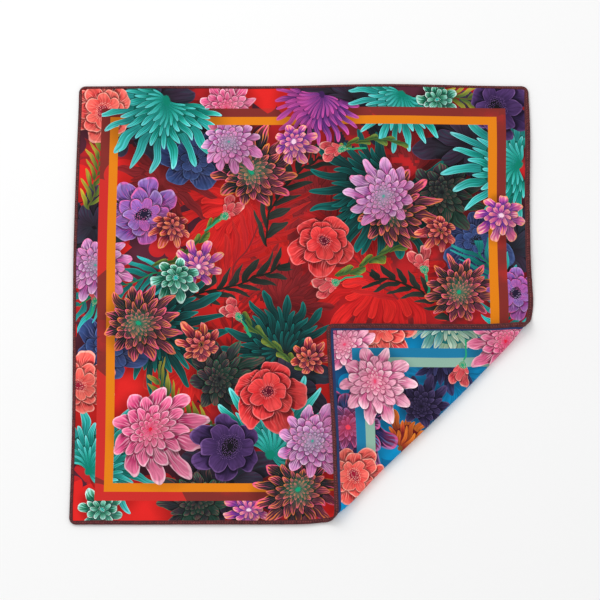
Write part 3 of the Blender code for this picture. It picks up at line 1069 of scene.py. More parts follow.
class MotifNodes:
    """The nodes that draw the motif of one slot, from its own coordinates and code to its paint.

    Each step keeps the wires that later ones read. A node is made after those that it reads, and a
    card right before its use, which keeps the renderer's working memory small.
    """

    def __init__(self, hand: Hand) -> None:
        """Makes the group and its sockets, and reads the motif's place, kind and seed."""
        self.hand = hand
        self.tree = bpy.data.node_groups.new("motif", "ShaderNodeTree")
        for way, name, kind in (("INPUT", "Place", "Vector"), ("INPUT", "After", "Float"),
                                ("OUTPUT", "Colour", "Color"), ("OUTPUT", "Cover", "Float"),
                                ("OUTPUT", "Shade", "Float"), ("OUTPUT", "Over", "Float")):
            self.tree.interface.new_socket(name, in_out=way, socket_type=f"NodeSocket{kind}")
        self.loom = Loom(self.tree)
        self.drawings = [each.value for each in KINDS]
        given = self.loom.node("NodeGroupInput")
        self.x, self.y, code = self.loom.split(Wire(self.loom, given.outputs["Place"]))
        self.code = code + Wire(self.loom, given.outputs["After"]) * AFTER_SHARE
        self.over = (self.code / Print.over_step).floor().clipped()
        kind_seed = self.code - self.over * Print.over_step
        kind = kind_seed.floor()
        self.seed = ((kind_seed - kind) * float(Print.seeds)).floor() / Print.seeds
        self.share = (kind + 0.5) / CARD_PLACES

    def card(self, rows: list[Colour]) -> tuple[Wire, Wire]:
        """The motif's own row of a card: its first three values, and its fourth."""
        return self.loom.card(self.share, rows)

    def paint_of(self, part: str) -> Wire:
        """The colour of one part of the motif's drawing."""
        return self.card([getattr(drawing, part) for drawing in self.drawings])[0]

    def read_form(self) -> None:
        """Reads the drawing's petals and rings, a petal's outline, the core, the spread and the bow."""
        shape, self.drop = self.card([
            (d.petals / PETALS_FULL, d.ratio, d.rings / RINGS_FULL, d.drop) for d in self.drawings])
        petals, self.ratio, rings = self.loom.split(shape)
        self.petals, self.rings = petals * PETALS_FULL, rings * RINGS_FULL
        form, bow_code = self.card([
            (d.power / POWER_FULL, d.core, d.spread, SPRIG_CODE if d.sprig else d.bow * BOW_SHARE)
            for d in self.drawings])
        power, self.core, self.spread = self.loom.split(form)
        self.power = power * POWER_FULL
        bow = bow_code / BOW_SHARE
        self.sprig = bow_code > (SPRIG_CODE + BOW_SHARE) / 2
        self.bow = bow * (1.0 - self.sprig) * (self.spread < ALL_ROUND)

    def read_touch(self) -> None:
        """Reads how far the outline wavers, the strokes and the rim's width."""
        touch, self.rim_width = self.card([
            (d.wobble, 0.5 + 0.5 * d.stroke_share * (1 if d.from_tip else -1),
             d.strokes / STROKES_FULL, d.rim_width) for d in self.drawings])
        self.wobble, self.stroke_code, self.strokes = self.loom.split(touch)

    def bend_place(self) -> None:
        """Bends the place: all outlines waver, a sprig's stem curves and a round flower leans.

        A leaning flower is seen a little from one side, so its middle is off the middle of its
        outline, by less and less towards the outline.
        """
        loom, seed = self.loom, self.seed
        drift_x, drift_y, patch = loom.uneven(loom.join(self.x, self.y, seed * 40.0),
                                              self.hand.drift_scale, 1.0)
        self.patch = loom.smooth(patch, 0.38, 0.62)
        x, y = self.x + (drift_x - 0.5) * self.wobble, self.y + (drift_y - 0.5) * self.wobble
        y = y + (x * x - 0.3) * (seed - 0.5) * self.sprig * self.hand.stem_curve
        middle = (1.0 - (x * x + y * y)).clipped()
        lean = middle * (self.spread > ALL_ROUND) * (1.0 - self.sprig) * self.hand.lean
        self.x = x + lean * (loom.math("FRACT", seed * 5.3) - 0.5)
        self.y = y + lean * (seed - 0.5)

    def find_ring(self) -> None:
        """Finds the place's lane, how far out it is, and the ring whose petals would reach it.

        A flower's lanes lie about its middle, and a sprig's slant off its stem. The rings' radii
        shrink by the ratio, so the ring is the logarithm of how far out the place is to that base.
        """
        loom = self.loom
        self.radius = (self.x * self.x + self.y * self.y).root()
        self.side_y = abs(self.y)
        self.angle = loom.math("ARCTAN2", self.y, self.x) / (2 * math.pi)
        slanted = (self.x * 0.5 + 0.5 - self.side_y * self.hand.leaf_slant) * self.petals
        lane_sprig = slanted + loom.math("SIGN", self.y) * 0.25
        self.lane = loom.between(self.sprig, self.angle * self.petals, lane_sprig)
        self.out = loom.between(self.sprig, self.radius, self.side_y * self.hand.leaf_reach / self.spread)
        share_round = (abs(self.angle) * 2.0 / self.spread).clipped()
        self.envelope = 1.0 - self.bow * share_round * share_round
        ring = loom.math("LOGARITHM", self.out / self.envelope, self.ratio).floor()
        self.ring = loom.math("MAXIMUM", loom.math("MINIMUM", ring, self.rings - 1.0), 0.0)

    def petal(self, number: Wire) -> Petal:
        """One petal of a ring at this place.

        Its edge is at length times (1 - drop times (across / waist) to the power). The waist draws a
        sprig's leaf in at its root, and is 1 on a flower.

        Args:
            number: The ring, 0 the outermost.

        Returns:
            The petal in the place's lane.
        """
        loom = self.loom
        odd = loom.math("FLOORED_MODULO", number, 2.0) * 0.5
        own_lane = self.lane + odd
        cell = own_lane.floor()
        across = (own_lane - cell) * 2.0 - 1.0
        name = loom.math("FLOORED_MODULO", cell, self.petals)
        rolls = loom.chance(name + 0.37, number + 0.21, self.seed * 97.0)
        centre = (cell + 0.5 - odd) / self.petals
        off = loom.between(self.sprig, abs(centre) * 2.0 / self.spread, abs(centre * 2.0 - 1.0))
        length = self.ratio**number
        length = length * (1.0 - self.bow * (off * off).clipped())
        length = length * (1.0 - self.hand.uneven_length * rolls[0])
        waist = loom.between(self.sprig, 1.0, (self.out * 3.0 / length).clipped().root())
        edge = length * (1.0 - self.drop * (abs(across) / waist) ** self.power)
        cover = (self.out < edge) * (off < 1.03)
        return Petal(name, across, length, edge, cover, rolls)

    def pick_petal(self) -> None:
        """Picks the petal that shows: the ring's own, or where it doesn't reach, the one under it."""
        above = self.petal(self.ring)
        self.edge_above = above.edge
        self.below = 1.0 - above.cover
        self.ring = self.ring - self.below
        self.leaf = self.petal(self.ring)
        self.cover = self.leaf.cover * (self.ring > -0.5)

    def paint_petal(self) -> None:
        """Paints the petal from its inner colour to its outer one, and turns one side to the stroke's."""
        loom, leaf = self.loom, self.leaf
        low = self.ratio * 0.75 * (self.ring < self.rings - 1.5)
        self.reach = ((self.out / leaf.length - low) / (1.0 - low)).clipped()
        self.inner = self.paint_of("inner")
        outer = self.paint_of("outer")
        colour = loom.mix(loom.smooth(self.reach, 0.05, 0.95), self.inner, outer)
        self.stroke = self.paint_of("stroke")
        tone, self.variety = self.card([(d.blend, d.depth, d.stem, d.variety) for d in self.drawings])
        blend, self.depth, self.stem = loom.split(tone)
        aside = self.x * 0.8 - self.y * 0.6 + (leaf.rolls[1] - 0.5) * 0.9 + self.patch * 0.5
        turned = loom.smooth(aside, -0.1, 1.1)
        self.colour = loom.mix(turned * blend, colour, self.stroke)
        grain = loom.join(leaf.across * 6.0 + leaf.name * 9.0, self.reach * 2.2 + self.ring * 5.0,
                          self.seed * 50.0)
        self.streak, _, _ = loom.uneven(grain, 1.0, 3.0)

    def draw_strokes(self) -> None:
        """Draws the strokes along the petal, each tapering from the tip or from the root.

        The lanes of the strokes divide the petal's width. A stroke is there where its taper times
        its width is more than the distance from the middle of its lane.
        """
        loom, leaf = self.loom, self.leaf
        from_tip = self.stroke_code > 0.5
        strength = abs(self.stroke_code - 0.5) * 2.0
        lane = leaf.across * self.strokes * STROKES_FULL * 0.5
        line = lane.floor()
        off_line = abs(lane - line - 0.5)
        run_roll, tone_roll, _ = loom.chance(line + 0.5, leaf.name + self.ring * 31.0 + 0.3,
                                             self.seed * 53.0)
        run = 0.25 + 0.7 * run_roll
        from_end = loom.between(from_tip, self.reach, 1.0 - self.reach)
        taper = (1.0 - from_end / run).clipped()
        inside = taper * self.hand.stroke_width - off_line
        drawn = loom.smooth(inside, -self.hand.stroke_edge, self.hand.stroke_edge) * strength
        rim = self.paint_of("rim")
        trade = loom.smooth(self.patch * 0.7 + leaf.rolls[1] * 0.6, 0.45, 0.75) * self.variety
        thick = drawn * (0.55 + 0.45 * tone_roll)
        self.colour = loom.mix(thick, self.colour, loom.mix(trade, self.stroke, rim))
        self.rim = loom.mix(trade, rim, self.stroke)

    def light_petal(self) -> None:
        """Lights the petal's rim and, softly, its middle, and shades it under the ring above it."""
        loom, leaf, hand = self.loom, self.leaf, self.hand
        inside = 1.0 - self.out / leaf.edge
        glow = (1.0 - leaf.across * leaf.across) * loom.smooth(self.reach, 0.3, 0.9) * hand.glow
        fade = loom.smooth(inside, self.rim_width * 0.4, self.rim_width)
        rim = (1.0 - fade) * (0.45 + 0.5 * self.patch)
        self.colour = loom.mix(loom.math("MAXIMUM", glow, rim), self.colour, self.rim)
        beyond = self.out / self.edge_above - 1.0
        shade = 1.0 - self.depth * self.below * (1.0 - loom.smooth(beyond, 0.0, hand.shadow_reach))
        shade = shade * (1.08 - hand.dark_side * loom.smooth(self.x * 0.6 - self.y * 0.8, -0.8, 0.9))
        shade = shade * (0.84 + 0.24 * leaf.rolls[2])
        shade = shade * (1.0 - hand.vein * (abs(leaf.across) < hand.vein_width))
        shade = shade * (0.35 + 1.3 * self.streak)
        self.colour = loom.tinted(self.colour, shade)

    def fill_hollow(self) -> None:
        """Fills with the flower's dark inside where no petal of two rings reaches."""
        hollow = (self.out < self.envelope * self.ratio * self.hand.hollow_reach) * (self.rings > 1.5)
        hollow = hollow * (abs(self.angle) * 2.0 < self.spread)
        self.hollow = hollow * (1.0 - self.cover)
        dark = self.loom.tinted(self.inner, self.depth * -0.5 + 0.85)
        self.colour = self.loom.mix(self.hollow, self.colour, dark)

    def draw_core(self) -> None:
        """Draws the core or the stem, a fan's stalk, the stamens and the warmth about a full heart."""
        loom, hand = self.loom, self.hand
        in_round = (self.radius + (self.streak - 0.5) * hand.core_waver) < self.core
        in_stem = (self.side_y < self.core) * (abs(self.x) < 0.97)
        in_core = loom.between(self.sprig, in_round, in_stem)
        off_stalk = abs(self.y - self.x * self.x * hand.stalk_curve)
        stalk = (off_stalk < hand.stalk_width) * (self.x < 0.0) * (self.x > self.stem * -1.0)
        in_core = loom.math("MAXIMUM", in_core, stalk * (1.0 - self.cover) * (1.0 - self.sprig))
        own_place = loom.join(self.x, self.y)
        dots = loom.node("ShaderNodeTexVoronoi", voronoi_dimensions="2D")
        loom.put(dots.inputs["Vector"], own_place)
        dots.inputs["Scale"].default_value = hand.dots
        dot = (Wire(loom, dots.outputs["Distance"]) < hand.dot_size) * (1.0 - self.sprig)
        dot = dot * (self.core > 0.085)
        stamen = dot * (self.radius < self.core * 1.5) * (self.radius > self.core * 0.45)
        heart = self.paint_of("heart")
        spread = loom.smooth(self.radius, self.core, self.core + hand.warmth_reach)
        warmth = (1.0 - spread) * (self.rings > 3.5) * hand.warmth
        self.colour = loom.mix(loom.math("MAXIMUM", in_core, warmth), self.colour, heart)
        self.colour = loom.mix(stamen * 0.8, self.colour, self.rim)
        self.cover = loom.math("MAXIMUM", loom.math("MAXIMUM", self.cover, self.hollow), in_core)

    def nearness(self) -> Wire:
        """How near the place is to the flower, which lays a soft shade on what is under it.

        Returns:
            1 inside the outline, falling to 0 past it, and 0 for a sprig or an empty slot.
        """
        near = 1.0 - self.loom.smooth(self.out / self.envelope, 0.72, 1.1)
        near = near * (abs(self.angle) * 2.0 < self.spread + 0.04)
        return near * (1.0 - self.sprig) * (self.code > -0.5)

    def build(self) -> bpy.types.NodeTree:
        """Draws the motif step by step.

        Returns:
            The finished group.
        """
        for step in (self.read_form, self.read_touch, self.bend_place, self.find_ring, self.pick_petal,
                     self.paint_petal, self.draw_strokes, self.light_petal, self.fill_hollow,
                     self.draw_core):
            step()
        near = self.nearness()
        result = self.loom.node("NodeGroupOutput")
        self.loom.put(result.inputs["Shade"], 1.0 - near * self.depth * self.hand.soft_shade)
        self.loom.put(result.inputs["Colour"], self.colour)
        self.loom.put(result.inputs["Cover"], self.cover * (self.code > -0.5))
        self.loom.put(result.inputs["Over"], self.over)
        return self.tree


@dataclass(frozen=True)
class Bands:
    """The bands of the frame on one face, as distances from the cloth's side, and their colours."""

    outer_from: float
    inner_from: float
    field_from: float
    outer: Colour
    inner: Colour


@dataclass(frozen=True)
class Scatter:
    """How flat round-lobed flowers are scattered over the ground."""

    per_metre: float
    lobes: int
    size: float  # a flower's radius, in shares of its cell
    share: float  # of the cells that hold a flower


@dataclass(frozen=True)
class PrintedSatin:
    """The printed satin: its ground, its frame of bands and its motifs, with a fine weave."""

    half_side: float = 0.250
    front_bands: Bands = Bands(0.0263, 0.0362, 0.0457, srgb(126, 44, 40), srgb(218, 124, 20))
    reverse_bands: Bands = Bands(0.0272, 0.0376, 0.0480, srgb(28, 116, 156), srgb(136, 172, 156))
    over_scarlet: Colour = srgb(196, 44, 40)  # the outer band where it is printed over scarlet
    line_to: float = 0.0077  # how far from the side the reverse's dark line beside the hem reaches
    line: Colour = srgb(38, 55, 95)
    dark_blooms: Scatter = Scatter(13.0, 7, 0.60, 0.55)
    mid_blooms: Scatter = Scatter(17.0, 6, 0.56, 0.65)
    large_blooms: Scatter = Scatter(9.0, 5, 0.62, 0.55)
    bloom_drift: float = 0.85  # how far a flower strays from an even grid
    mottle_scale: float = 30.0
    pencil_scale: float = 900.0
    vividness: float = 1.0
    brightness: float = 1.16
    gloss: Gloss = Gloss(0.5, 0.06, 0.0)
    weave_pitch: float = 0.00035
    weave_slant: float = 0.2
    weave_strength: float = 0.12
    weave_height: float = 0.00005

    def blooms(self, loom: Loom, place: Wire, scatter: Scatter) -> Wire:
        """Flat round-lobed flowers over the ground, each about the middle of its own cell.

        A flower's edge is at its size times (0.68 + 0.32 times the size of cos(lobes / 2 times the
        angle) to the power 0.6), and a random share of 0.7 to 1 of that.

        Args:
            loom: Where the nodes go.
            place: The flat place.
            scatter: How the flowers are scattered.

        Returns:
            1 on a flower, or else 0.
        """
        cells = loom.node("ShaderNodeTexVoronoi", voronoi_dimensions="2D")
        loom.put(cells.inputs["Vector"], place)
        cells.inputs["Scale"].default_value = scatter.per_metre
        cells.inputs["Randomness"].default_value = self.bloom_drift
        u, v, _ = loom.split(place)
        at_u, at_v, _ = loom.split(Wire(loom, cells.outputs["Position"]))
        roll, roll_2, roll_3 = loom.split(Wire(loom, cells.outputs["Color"]))
        off_u, off_v = (u - at_u) * scatter.per_metre, (v - at_v) * scatter.per_metre
        angle = loom.math("ARCTAN2", off_v, off_u)
        lobe = abs(loom.math("COSINE", angle * (scatter.lobes / 2) + roll * 6.28)) ** 0.6
        reach = (0.7 + 0.3 * roll_2) * (0.68 + 0.32 * lobe) * scatter.size
        return ((off_u * off_u + off_v * off_v).root() < reach) * (roll_3 < scatter.share)

    def ground(self, loom: Loom, place: Wire, reverse: Wire) -> Wire:
        """The mottled ground, under flat flowers in three tones.

        Args:
            loom: Where the nodes go.
            place: The flat place.
            reverse: 1 on the reverse, which is blue, or else 0 on the front, which is red.

        Returns:
            The ground's colour.
        """
        soft, fine, broad = loom.uneven(place, self.mottle_scale, 5.0)
        low = loom.smooth(soft, 0.42, 0.56)
        colour = loom.mix(reverse, loom.mix(low, WINE, BRICK), loom.mix(low, DEEP_LAKE, MID_LAKE))
        dark = self.blooms(loom, place, self.dark_blooms)
        colour = loom.mix(dark, colour, loom.mix(reverse, DARK_WINE, DARK_LAKE))
        mid = self.blooms(loom, place, self.mid_blooms)
        colour = loom.mix(mid, colour, loom.mix(reverse, BRICK, MID_LAKE))
        colour = loom.tinted(colour, 0.7 + 0.6 * fine)
        large = self.blooms(loom, place, self.large_blooms)
        colour = loom.mix(large, colour, loom.mix(reverse, SCARLET, LAKE))
        return loom.tinted(colour, 0.86 + 0.28 * broad)

    def start(self, loom: Loom, reverse: Wire, name: str) -> Wire:
        """The distance from the side at which a band starts, on whichever face this is."""
        front, back = getattr(self.front_bands, name), getattr(self.reverse_bands, name)
        return loom.between(reverse, loom.math("ADD", front, 0.0), back)

    def framed(self, loom: Loom, ground: Wire, edge: Wire, reverse: Wire) -> tuple[Wire, Wire]:
        """Lays the frame of two bands on the ground.

        Args:
            loom: Where the nodes go.
            ground: The ground's colour.
            edge: The distance from the cloth's side.
            reverse: 1 on the reverse, or else 0.

        Returns:
            The colour with the frame on it, and 1 in the frame or else 0.
        """
        outer_from = self.start(loom, reverse, "outer_from")
        inner_from = self.start(loom, reverse, "inner_from")
        field_from = self.start(loom, reverse, "field_from")
        in_frame = (edge > outer_from) * (edge < field_from)
        inner = loom.mix(reverse, self.front_bands.inner, self.reverse_bands.inner)
        redness, _, _ = loom.split(ground)
        front_outer = loom.mix(loom.smooth(redness, 0.45, 0.6), self.front_bands.outer, self.over_scarlet)
        outer = loom.mix(reverse, front_outer, self.reverse_bands.outer)
        bands = loom.mix(edge > inner_from, outer, inner)
        return loom.mix(in_frame, ground, bands), in_frame

    def planted(self, loom: Loom, ground: Wire, in_frame: Wire) -> Wire:
        """Draws the motifs of all slots over the ground, the lowest first.

        Args:
            loom: Where the nodes go.
            ground: The colour of the ground and its frame.
            in_frame: 1 in the frame, which only some motifs are printed over.

        Returns:
            The colour with the motifs on it.
        """
        group = MotifNodes(Hand()).build()
        colour = ground
        cover: Wire | float = 0.0
        for slot in reversed(range(Print.slots)):
            held = Wire(loom, loom.attribute(f"motif_{slot}").outputs["Vector"])
            drawn = loom.node("ShaderNodeGroup")
            drawn.node_tree = group
            loom.put(drawn.inputs["Place"], held)
            loom.put(drawn.inputs["After"], cover)
            under = in_frame * (1.0 - Wire(loom, drawn.outputs["Over"]))
            cover = Wire(loom, drawn.outputs["Cover"]) * (1.0 - under)
            shaded = loom.tinted(colour, loom.between(under, Wire(loom, drawn.outputs["Shade"]), 1.0))
            colour = loom.mix(cover, shaded, Wire(loom, drawn.outputs["Colour"]))
        return colour

    def build(self) -> bpy.types.Material:
        """Makes the print and the weave, whose height is the product of two sine waves.

        Returns:
            The material.
        """
        material = bare_material("printed_satin", self.gloss)
        loom = Loom(material.node_tree)
        shader = material.node_tree.nodes["Principled BSDF"]
        place = Wire(loom, loom.node("ShaderNodeUVMap", uv_map="flat").outputs[0])
        u, v, _ = loom.split(place)
        reverse = Wire(loom, loom.attribute("reverse").outputs["Fac"])
        edge = self.half_side - loom.math("MAXIMUM", abs(u), abs(v))
        colour, in_frame = self.framed(loom, self.ground(loom, place, reverse), edge, reverse)
        colour = self.planted(loom, colour, in_frame)
        colour = loom.mix((edge < self.line_to) * reverse, colour, self.line)
        pencil, _, _ = loom.uneven(place, self.pencil_scale, 2.0)
        colour = loom.tinted(colour, 0.88 + 0.2 * pencil)
        vivid = loom.node("ShaderNodeHueSaturation")
        vivid.inputs["Saturation"].default_value = self.vividness
        vivid.inputs["Value"].default_value = self.brightness
        loom.put(vivid.inputs["Color"], colour)
        loom.put(shader.inputs["Base Color"], Wire(loom, vivid.outputs["Color"]))
        turns = 2 * math.pi / self.weave_pitch
        warp = loom.math("SINE", (u + v * self.weave_slant) * turns)
        weave = warp * loom.math("SINE", (v - u * self.weave_slant) * turns)
        loom.put(shader.inputs["Normal"], loom.bump(weave, self.weave_strength, self.weave_height))
        return material


@dataclass(frozen=True)
class PlainSatin:
    """Plain dyed cloth or thread: a colour that drifts a little, painted shade in the stitched groove, and
    a fine rib along the piece.
    """

    name: str
    light: Colour
    dark: Colour
    rib_pitch: float
    rib_strength: float = 0.3
    rib_height: float = 0.00008
    dye_scale: float = 240.0
    groove_shade: float = 0.6  # how much painted shade darkens the deepest stitched groove
    gloss: Gloss = Gloss(0.6, 0.25, 0.03)

    def build(self) -> bpy.types.Material:
        """Makes the dye, the painted shade in the groove and the ribs, which run on the piece's own map, in
        metres along and across.

        Returns:
            The material, darkened with painted shade where the piece's groove attribute is high.
        """
        material = bare_material(self.name, self.gloss)
        loom = Loom(material.node_tree)
        shader = material.node_tree.nodes["Principled BSDF"]
        place = Wire(loom, loom.node("ShaderNodeUVMap", uv_map="flat").outputs[0])
        along, across, _ = loom.split(place)
        tone, fine, _ = loom.uneven(place, self.dye_scale, 3.0)
        groove = Wire(loom, loom.attribute("groove").outputs["Fac"])
        colour = loom.mix(loom.smooth(tone * 0.7 + fine * 0.3, 0.35, 0.65), self.dark, self.light)
        # Painted shade: the dye is darkened where the stitches pull the hem into a groove.
        loom.put(shader.inputs["Base Color"], loom.tinted(colour, 1.0 - self.groove_shade * groove))
        rib = loom.math("SINE", (along + across) * (2 * math.pi / self.rib_pitch))
        loom.put(shader.inputs["Normal"], loom.bump(rib, self.rib_strength, self.rib_height))
        return material


HEM_SATIN = PlainSatin("hem_satin", srgb(104, 38, 41), srgb(68, 26, 31), 0.0006)
HEM_THREAD = PlainSatin("hem_thread", srgb(168, 84, 82), srgb(132, 56, 58), 0.0004)


@dataclass(frozen=True)
class PrintedSheet:
    """The square of satin itself, a closed thin sheet whose edge ends inside the hem."""

    cloth: LaidCloth
    thickness: float = 0.0004
    off_reverse: float = 0.0001  # how far it lies inside the solid's reverse
    tuck: float = 0.0015  # how far its edge stops short of the hem's
    fine_cells: int = 146  # to half a side, where the turned corner is
    coarse_cells: int = 75  # to the other half
    name: str = "printed_cloth"

    def lines(self) -> Array:
        """Where the grid crosses the u axis: close on the half with the turned corner.

        Returns:
            Places from one edge of the sheet to the other.
        """
        half = self.cloth.side / 2 - self.tuck
        coarse = np.linspace(-half, 0.0, self.coarse_cells + 1)
        return np.concatenate([coarse, np.linspace(0.0, half, self.fine_cells + 1)[1:]])

    def build(self) -> bpy.types.Object:
        """The sheet's mesh: a grid over the flat square, laid, for each of its two faces.

        Returns:
            The sheet, with its flat places as a map and its motifs as attributes.
        """
        lines = self.lines()
        count = len(lines)
        u, v = (each.ravel() for each in np.meshgrid(lines, -lines[::-1]))
        middle, normal = self.cloth.place(u, v), self.cloth.towards_reverse(u, v)
        back_off = self.cloth.layer / 2 - self.off_reverse
        points = np.concatenate([middle + normal * (back_off - self.thickness), middle + normal * back_off])
        front = grid_faces(count, count)
        reverse = front[:, ::-1] + count * count
        number = np.arange(count * count).reshape(count, count)
        loop = np.concatenate([number[0, :-1], number[:-1, -1], number[-1, :0:-1], number[:0:-1, 0]])
        after = np.roll(loop, -1)
        rim = np.stack([after, loop, loop + count * count, after + count * count], axis=-1)
        faces = np.concatenate([front, reverse, rim])
        sheet = mesh_object(self.name, points, faces)
        self.map_flat(sheet, np.tile(u, 2)[faces], np.tile(v, 2)[faces], len(front))
        return sheet

    def map_flat(self, sheet: bpy.types.Object, u: Array, v: Array, front_faces: int) -> None:
        """Writes the flat places, the face and the motifs to the mesh.

        Args:
            sheet: The sheet's object.
            u: Flat places to the right, a row of corners for each mesh face.
            v: Flat places away, in the same rows.
            front_faces: How many mesh faces are the cloth's front, before the rest.
        """
        mesh = sheet.data
        layer = mesh.uv_layers.new(name="flat")
        layer.data.foreach_set("uv", np.stack([u, v], axis=-1).ravel())
        face = mesh.attributes.new("reverse", "FLOAT", "FACE")
        face.data.foreach_set("value", (np.arange(len(u)) >= front_faces).astype(float))
        both = Print()
        front = both.give_out(FRONT, u[:front_faces], v[:front_faces])
        back = both.give_out(REVERSE, u[front_faces:], v[front_faces:])
        for slot in range(both.slots):
            held = mesh.attributes.new(f"motif_{slot}", "FLOAT_VECTOR", "CORNER")
            held.data.foreach_set("vector", np.concatenate([front[slot], back[slot]]).ravel())


@dataclass(frozen=True)
class TurnedHem:
    """The hem: a flat roll of plain satin all round the square, sewn through its middle."""

    cloth: LaidCloth
    step: float = 0.00056  # from one section to the next
    off_floor: float = 0.00004  # how far it lies inside the solid's reverse
    front_skin: float = 0.00005  # how far it lies inside the solid's front
    pucker: float = 0.00014  # how deep the stitches pull it in
    stitch_pitch: float = 0.0028
    stitch_share: float = 0.53  # where the stitches run, as a share of the hem's width
    widths: tuple[float, float, float, float] = (0.0046, 0.0056, 0.0031, 0.0035)
    corner_share: float = 0.04  # of a side, over which one side's width turns into the next one's
    drift: float = 0.00025  # how far the width strays
    map_height: float = 0.0018  # how high the section is on the hem's map
    name: str = "turned_hem"

    def width(self, along: Array) -> Array:
        """The hem's width: each side has its own, from the lower one round, and it drifts a little.

        The drift is drift times sin(11 turns) times sin(17 turns + 1) over the way round.

        Args:
            along: Shares of the way round, from 0 to 1.

        Returns:
            A width for each share.
        """
        side = np.arange(4)[:, None]
        places = (side + np.array([self.corner_share, 1.0 - self.corner_share])) / 4
        even = np.interp(along, places.ravel(), np.repeat(self.widths, 2), period=1.0)
        turns = 2 * math.pi * along
        return even + self.drift * np.sin(11 * turns) * np.sin(17 * turns + 1.0)

    def perimeter(self, inset: Array, along: Array) -> tuple[Array, Array]:
        """Flat places at a share of the way round a square that is inset from the cloth's side.

        The square's four sides are walked anticlockwise from the lower left corner: a side's own
        share t gives (t, 0), (1, t), (1 - t, 1) and (0, 1 - t).

        Args:
            inset: The distance from the cloth's side.
            along: Shares of the way round, from 0 to 1.

        Returns:
            u and v.
        """
        side = np.floor(along * 4).astype(int) % 4
        t = along * 4 - np.floor(along * 4)
        x = np.choose(side, [t, np.ones_like(t), 1 - t, np.zeros_like(t)])
        y = np.choose(side, [np.zeros_like(t), t, np.ones_like(t), 1 - t])
        half = self.cloth.side / 2 - inset
        return (2 * x - 1) * half, (2 * y - 1) * half

    def profile(self) -> tuple[Array, Array, Array]:
        """The hem's section, walked once round.

        Returns:
            Insets from the outer edge in shares of the width, heights from the front (0) to the
            reverse (1), and how much each point gives way under a stitch.
        """
        rows = (
            (0.00, 0.50, 0.0), (0.03, 0.22, 0.0), (0.12, 0.05, 0.2), (0.30, 0.00, 0.4),
            (0.52, 0.05, 1.0), (0.74, 0.00, 0.4), (0.93, 0.07, 0.1), (1.00, 0.28, 0.0),
            (1.00, 0.72, 0.0), (0.93, 0.94, 0.1), (0.74, 1.00, 0.4), (0.52, 0.95, 1.0),
            (0.30, 1.00, 0.4), (0.12, 0.95, 0.2), (0.03, 0.78, 0.0),
        )
        inset, height, give = np.array(rows).T
        return inset, height, give

    def build(self) -> bpy.types.Object:
        """The hem's mesh: its section carried round the square and laid with the cloth.

        At a stitch the section gives way by its own give times (0.55 + 0.45 cos(phase)), where the
        phase is a whole turn to each stitch.

        Returns:
            The hem, with the lengths along and round it as a map and the stitches' groove, which the hem's
            satin darkens as painted shade.
        """
        inset, height, give = self.profile()
        length = 4 * self.cloth.side
        count = int(round(length / self.step))
        along = (np.arange(count) + 0.5) / count
        grid_along, grid_inset = (each.ravel() for each in np.meshgrid(along, inset, indexing="ij"))
        u, v = self.perimeter(grid_inset * self.width(grid_along), grid_along)
        front = -self.cloth.layer / 2 + self.front_skin
        reverse = self.cloth.layer / 2 + self.cloth.hem_extra - self.off_floor
        share = np.tile(height, count)
        phase = grid_along * length / self.stitch_pitch * 2 * math.pi
        groove = np.tile(give, count) * (0.55 + 0.45 * np.cos(phase))
        sink = groove * self.pucker * np.sign(0.5 - share)
        level = front + (reverse - front) * share + sink
        points = self.cloth.place(u, v) + self.cloth.towards_reverse(u, v) * level[:, None]
        faces = grid_faces(count, len(inset), round_rows=True, round_columns=True)[:, ::-1]
        hem = mesh_object(self.name, points, faces)
        steps = np.hypot(np.diff(inset * self.cloth.hem_width), np.diff(height * self.map_height))
        around = np.concatenate([[0.0], np.cumsum(steps)])
        column = np.tile(around, count)
        mapped = np.stack([(grid_along * length)[faces], column[faces]], axis=-1)
        hem.data.uv_layers.new(name="flat").data.foreach_set("uv", mapped.ravel())
        # The groove also sets painted shade in the hem's satin, darkest between the stitches where the hem
        # is pulled in most.
        hem.data.attributes.new("groove", "FLOAT", "POINT").data.foreach_set("value", groove)
        return hem


